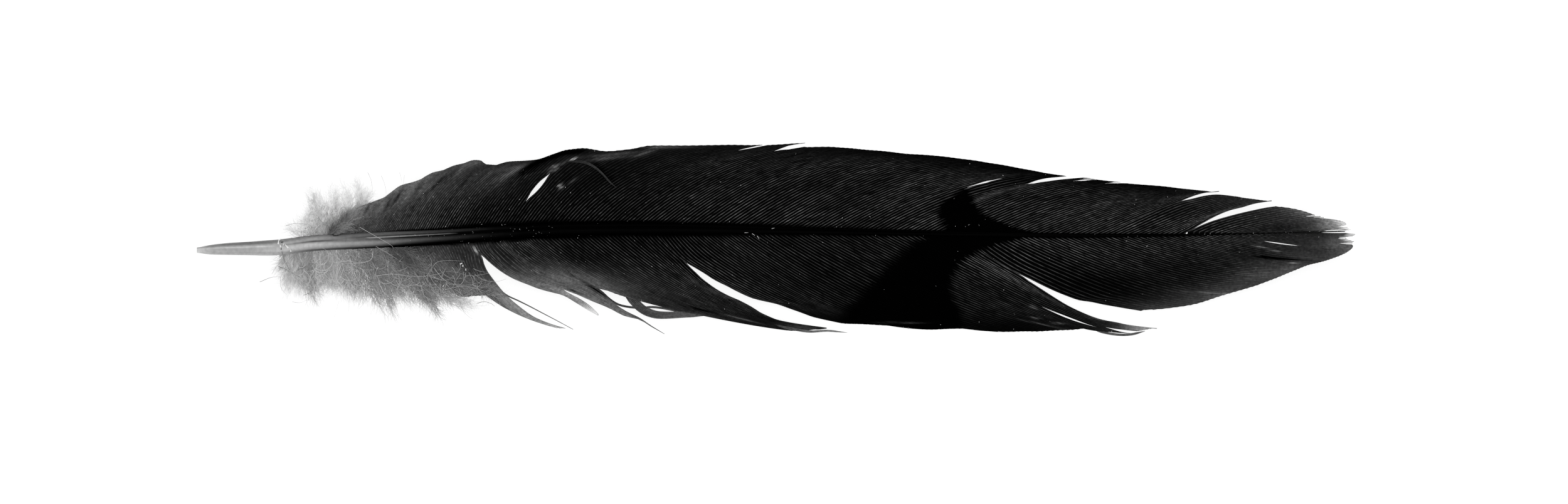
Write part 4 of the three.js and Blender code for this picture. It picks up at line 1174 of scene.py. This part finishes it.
# Single long threads: half the thickness, tone, height over the surface at both ends, and points.
WISPS = [
    (0.035, 190, (3.05, 2.95), [(-56.0, 1.5), (-53.8, 0.25), (-51.9, -0.85), (-51.4, -1.4)]),
    (0.03, 165, (2.8, 3.1), [(-53.8, -1.1), (-52.1, -2.1), (-50.4, -3.2), (-48.7, -4.4), (-47.0, -5.1)]),
    (0.035, 180, (3.2, 3.2), [
        (-50.7, -3.2), (-50.0, -2.4), (-49.1, -1.95), (-48.4, -2.4), (-47.8, -3.4), (-47.8, -4.2),
        (-48.7, -4.7),
    ]),
    (0.04, 185, (3.4, 2.2), [
        (-53.8, -5.1), (-51.6, -4.8), (-49.5, -5.1), (-47.0, -5.1), (-45.3, -4.8), (-43.6, -4.4),
        (-41.1, -5.1), (-38.5, -4.7),
    ]),
    (0.035, 170, (3.2, 2.5), [(-47.0, -5.1), (-46.1, -3.8), (-45.5, -3.2), (-44.0, -3.0), (-41.9, -3.1)]),
    (0.04, 195, (3.3, 3.3), [(-58.8, -3.2), (-57.1, -3.1), (-56.5, -3.8), (-56.3, -4.7)]),
    (0.035, 200, (3.3, 3.4), [(-58.4, -3.4), (-58.2, -4.2), (-58.8, -5.5), (-59.6, -6.6)]),
    (0.035, 195, (3.0, 3.3), [(-54.2, -1.7), (-54.6, -3.0), (-57.1, -3.4), (-60.0, -3.2)]),
    (0.04, 165, (3.9, 3.65), [(-66.0, 1.7), (-64.8, 2.0), (-63.1, 1.9), (-62.2, 1.3)]),
    (0.03, 190, (4.0, 3.9), [(-63.1, 2.5), (-62.6, 3.3), (-61.9, 3.0), (-61.8, 2.6), (-62.7, 2.4)]),
    (0.035, 110, (3.9, 3.8), [(-61.6, 2.9), (-61.2, 2.3), (-60.6, 1.8), (-60.2, 1.2)]),
    (0.03, 175, (3.5, 3.3), [(-54.9, 8.9), (-54.4, 7.6), (-54.3, 5.9)]),
    (0.03, 190, (3.1, 3.2), [(-53.1, 8.5), (-52.6, 7.2), (-52.4, 5.9)]),
    (0.025, 200, (2.9, 2.75), [(-50.6, 8.9), (-50.3, 7.6)]),
    (0.025, 190, (3.0, 2.9), [(-50.0, 8.5), (-50.1, 7.2)]),
    (0.05, 145, (1.2, 2.15), [(-69.5, -5.9), (-68.0, -5.3), (-66.8, -5.2)]),
    (0.045, 150, (2.25, 1.6), [(-67.3, -3.9), (-67.9, -4.9)]),
    (0.045, 150, (2.1, 1.8), [(-66.7, -5.2), (-66.6, -6.7), (-65.9, -7.6)]),
    (0.03, 175, (1.4, 1.8), [(-65.1, -8.6), (-64.0, -8.7), (-63.1, -8.3)]),
    (0.05, 90, (2.6, 2.6), [(-63.6, -7.7), (-62.9, -7.4), (-62.2, -6.9)]),
    (0.025, 225, (1.95, 0.6), [(-58.8, -8.5), (-59.3, -10.2), (-59.7, -12.1)]),
    (0.06, 95, (1.9, 1.9), [(-39.8, -7.4), (-39.2, -7.2), (-38.5, -7.3)]),
    (0.05, 110, (1.45, 1.2), [(-40.2, -8.8), (-39.5, -8.6), (-38.9, -8.6), (-38.1, -8.9), (-37.8, -9.2)]),
    (0.03, 190, (3.3, 2.4), [(-46.0, -4.0), (-44.6, -5.6), (-42.9, -6.3), (-40.8, -6.2), (-38.9, -5.6)]),
    (0.03, 175, (3.1, 3.0), [(-44.4, -6.9), (-42.4, -6.5), (-40.6, -6.7), (-38.2, -7.5)]),
    (0.03, 185, (3.3, 3.2), [(-52.6, -5.6), (-50.6, -6.6), (-48.2, -6.3), (-46.4, -7.4)]),
    (0.03, 170, (3.3, 3.0), [(-51.3, -7.3), (-49.8, -8.4), (-48.0, -8.8), (-46.2, -10.4)]),
    (0.03, 200, (3.3, 3.1), [(-57.4, -6.2), (-55.6, -7.4), (-53.4, -7.3), (-52.2, -8.6)]),
    (0.03, 195, (3.2, 3.4), [(-62.6, -3.0), (-61.0, -4.4), (-60.9, -6.0), (-62.0, -7.0)]),
    (0.05, 100, (3.2, 3.4), [(-67.0, -3.8), (-66.2, -4.1), (-65.1, -4.7), (-63.8, -5.4)]),
    (0.045, 105, (3.6, 3.5), [(-66.5, -1.8), (-66.0, -3.4), (-65.3, -4.5)]),
    (0.035, 110, (3.5, 3.3), [(-64.4, -4.3), (-63.3, -3.8), (-62.1, -3.6), (-61.9, -3.4), (-62.6, -3.5)]),
]
WISP_TONE = 1.1  # how much lighter a wisp is made than it should look

# Finer curls at random in the lower cloud: how many, half the thickness, usual length and the least share of
# it, and where they may begin: the corners of a slanting field.
CURLS = 130
CURL_RADIUS = 0.035
CURL_LENGTH = 3.6
SHORTEST_CURL = 0.4
CURL_FIELD = [(-65.5, -2.4), (-41.0, -2.9), (-62.0, -6.4), (-39.5, -6.9)]
CURL_HEADING = (-2.4, 2.0)  # radians: the least, and how much more it may be
CURL_TURN = 7.0  # radians: at most half of it, to either side
CURL_HEIGHT = (3.75, 0.9, 0.5)  # near the quill's end, how much less at the far end, and at a curl's own end
CURL_TONES = (225, 55)  # near the quill's end, and how much less at the far end


def random_curls(rng):
    """Paths (threads, stations, 3) of fine curls on the cloud, and how far along the cloud each begins."""
    along, down, turns, heading, size = rng.random((5, CURLS))
    corners = np.array(CURL_FIELD)
    near = corners[0] + (corners[1] - corners[0]) * along[:, None]
    far = corners[2] + (corners[3] - corners[2]) * along[:, None]
    start = near + (far - near) * down[:, None]
    steps = np.linspace(0, 1, WISP_STATIONS)[None]
    first = (CURL_HEADING[0] + CURL_HEADING[1] * heading)[:, None]
    turn = first + (CURL_TURN * (turns - 0.5))[:, None] * steps
    x, y = walk(start, turn, (CURL_LENGTH * (SHORTEST_CURL + size) / WISP_STATIONS)[:, None])
    z = CURL_HEIGHT[0] - CURL_HEIGHT[1] * along[:, None] - CURL_HEIGHT[2] * steps**2
    return np.stack([x, y, z], axis=-1), along


def make_wisps():
    curls, along = random_curls(np.random.default_rng(CURL_SEED))
    paths = [thread_rings(curls, CURL_RADIUS)]
    tones = [(CURL_TONES[0] - CURL_TONES[1] * along)[:, None, None] * np.ones(paths[0].shape[:3])]
    for radius, tone, heights, points in WISPS:
        plan = along_points(points, WISP_STATIONS)
        rise = np.linspace(*heights, WISP_STATIONS)
        paths.append(thread_rings(np.insert(plan, 2, rise, axis=1)[None], radius))
        tones.append(np.full((1, WISP_STATIONS, 3), WISP_TONE * tone))
    tubes("wisps", np.concatenate(paths), np.concatenate(tones), down_material)


make_wisps()

# ---------------------------------------------------------------- dust, flakes and painted glints

VANE_DUST = 280
SHAFT_DUST = 70
DUST_INWARD = 1.6  # how much the vanes' dust lies towards the shaft
DUST_HEIGHT = 0.2  # over a barb
DUSTY_SHAFT = (-62, 32, 0.8)  # where the dust on the shaft begins, how far it goes and how it thins out
DUST_ACROSS = 0.45
SHAFT_TOP = [[-0.5, 0.5], [-0.2, 1.02], [0.11, 0.88], [0.3, 1.0], [0.5, 0.5]]
SPECK_LENGTH = (0.06, 0.16)  # least, and how much more
SPECK_RADIUS = 0.04
SPECK_TONES = (90, 215)
# Flakes where the vane begins on the shaft and in the down: the white ones there are painted highlights,
# standing in for glints, partly on pale flaps, and the darker ones are darker bits among them; those on the
# middle of the shaft are dust. Middle, height, length, direction in degrees, half the thickness, tone.
FLAKES_AND_GLINTS = [
    (-67.0, -0.55, 3.74, 0.5, 80, 0.17, 250), (-66.8, -0.15, 3.6, 0.4, 30, 0.12, 250),
    (-66.75, -1.05, 3.72, 0.4, 100, 0.15, 250), (-66.3, -0.8, 3.66, 0.35, 60, 0.12, 235),
    (-65.9, -1.1, 3.71, 0.6, 130, 0.18, 245), (-65.4, -1.6, 3.64, 0.5, 110, 0.16, 225),
    (-66.45, -0.5, 3.7, 0.3, 10, 0.12, 60), (-66.6, -1.4, 3.8, 0.3, 75, 0.1, 110),
    (-42.3, -3.4, 2.3, 0.3, 20, 0.14, 250), (-42.1, -3.7, 2.4, 0.25, 90, 0.12, 250),
    (-41.7, -4.2, 2.6, 0.3, 80, 0.1, 240), (-41.9, -3.9, 2.4, 0.2, 30, 0.12, 90),
    (-44.7, -6.4, 3.0, 0.35, 50, 0.07, 240), (-3.8, 0.75, 1.2, 0.5, 0, 0.05, 190),
    (-2.9, 0.55, 0.95, 0.6, -35, 0.06, 210), (-2.2, 0.1, 0.66, 0.5, -60, 0.06, 190),
    (-0.2, 1.35, 1.2, 0.4, 10, 0.06, 180),
]


def flake_paths(middles, lengths, angles):
    """Level paths of three points through middles (flakes, 3)."""
    along = np.stack([np.cos(angles), np.sin(angles), 0 * angles], axis=1) * lengths[:, None]
    return middles[:, None] + along[:, None] * np.array([-0.5, 0.0, 0.5])[None, :, None]


def make_dust_and_glints():
    rng = np.random.default_rng(DUST_SEED)
    barbs = np.concatenate([upper_barbs, lower_barbs])
    which = rng.integers(len(barbs), size=VANE_DUST)
    station = (BARB_STATIONS * rng.random(VANE_DUST) ** DUST_INWARD).astype(int)
    on_vane = barbs[which, station] + np.array([0.0, 0.0, DUST_HEIGHT])
    first, reach, thinning = DUSTY_SHAFT
    x = first + reach * rng.random(SHAFT_DUST) ** thinning
    a = rng.uniform(-DUST_ACROSS, DUST_ACROSS, SHAFT_DUST)
    top = back_height(x) + shaft_height(x) * straight(SHAFT_TOP, a)
    on_shaft = np.stack([x, shaft_side(x) + a * shaft_width(x), top], axis=1)
    middles = np.concatenate([on_vane, on_shaft])
    lengths = SPECK_LENGTH[0] + SPECK_LENGTH[1] * rng.random(len(middles)) ** 2
    angles = rng.uniform(0, math.pi, len(middles))
    specks = thread_rings(flake_paths(middles, lengths, angles), SPECK_RADIUS)
    rows = np.array(FLAKES_AND_GLINTS)
    flakes_and_glints = [
        thread_rings(flake_paths(row[None, :3], row[3:4], np.radians(row[4:5])), row[5]) for row in rows
    ]
    rings = np.concatenate([specks, *flakes_and_glints])
    tones = rng.uniform(*SPECK_TONES, (len(rings), 1, 1)) * np.ones(rings.shape[:3])
    # the flakes' own tones: the white ones at the shaft's start and in the down are painted glints
    tones[len(specks) :] = rows[:, 6, None, None]
    tubes("dust_and_glints", rings, tones, down_material)


make_dust_and_glints()

# ---------------------------------------------------------------- floor, light

# A white surface that glows, so that it shows as plain white, with soft light from all round and a large lamp
# above. Places and sizes are metres here.
FLOOR_SIZE = 6.0
FLOOR_GREY = 0.25
FLOOR_GLOW = 0.84
WORLD_LIGHT = 0.75
LAMP_PLACE = (0.0, 0.15, 0.9)
LAMP_SIZE = 0.8
LAMP_POWER = 2.0
LIGHT_COLOUR = (1, 1, 1, 1)


def make_floor():
    mesh = bpy.data.meshes.new("floor")
    half = FLOOR_SIZE / 2
    corners = [(-half, -half, 0), (half, -half, 0), (half, half, 0), (-half, half, 0)]
    mesh.from_pydata(corners, [], [(0, 1, 2, 3)])
    material = bpy.data.materials.new("floor_white")
    material.use_nodes = True
    shader = material.node_tree.nodes["Principled BSDF"]
    set_inputs(shader, {"Base Color": (FLOOR_GREY, FLOOR_GREY, FLOOR_GREY, 1), "Roughness": 1.0})
    set_inputs(shader, {"Emission Color": LIGHT_COLOUR, "Emission Strength": FLOOR_GLOW})
    set_inputs(shader, {"Specular IOR Level": 0.0})
    mesh.materials.append(material)
    add_object("floor", mesh)


def make_lamp():
    light = bpy.data.lights.new("softbox", "AREA")
    light.shape = "DISK"
    light.size = LAMP_SIZE
    light.energy = LAMP_POWER
    holder = add_object("softbox", light)
    holder.location = LAMP_PLACE
    holder.visible_camera = False


def make_world():
    world = bpy.data.worlds.new("world")
    world.use_nodes = True
    set_inputs(world.node_tree.nodes["Background"], {"Color": LIGHT_COLOUR, "Strength": WORLD_LIGHT})
    bpy.context.scene.world = world


make_floor()
make_lamp()
make_world()
bpy.context.scene.view_settings.view_transform = "Standard"
bpy.context.scene.view_settings.look = "None"
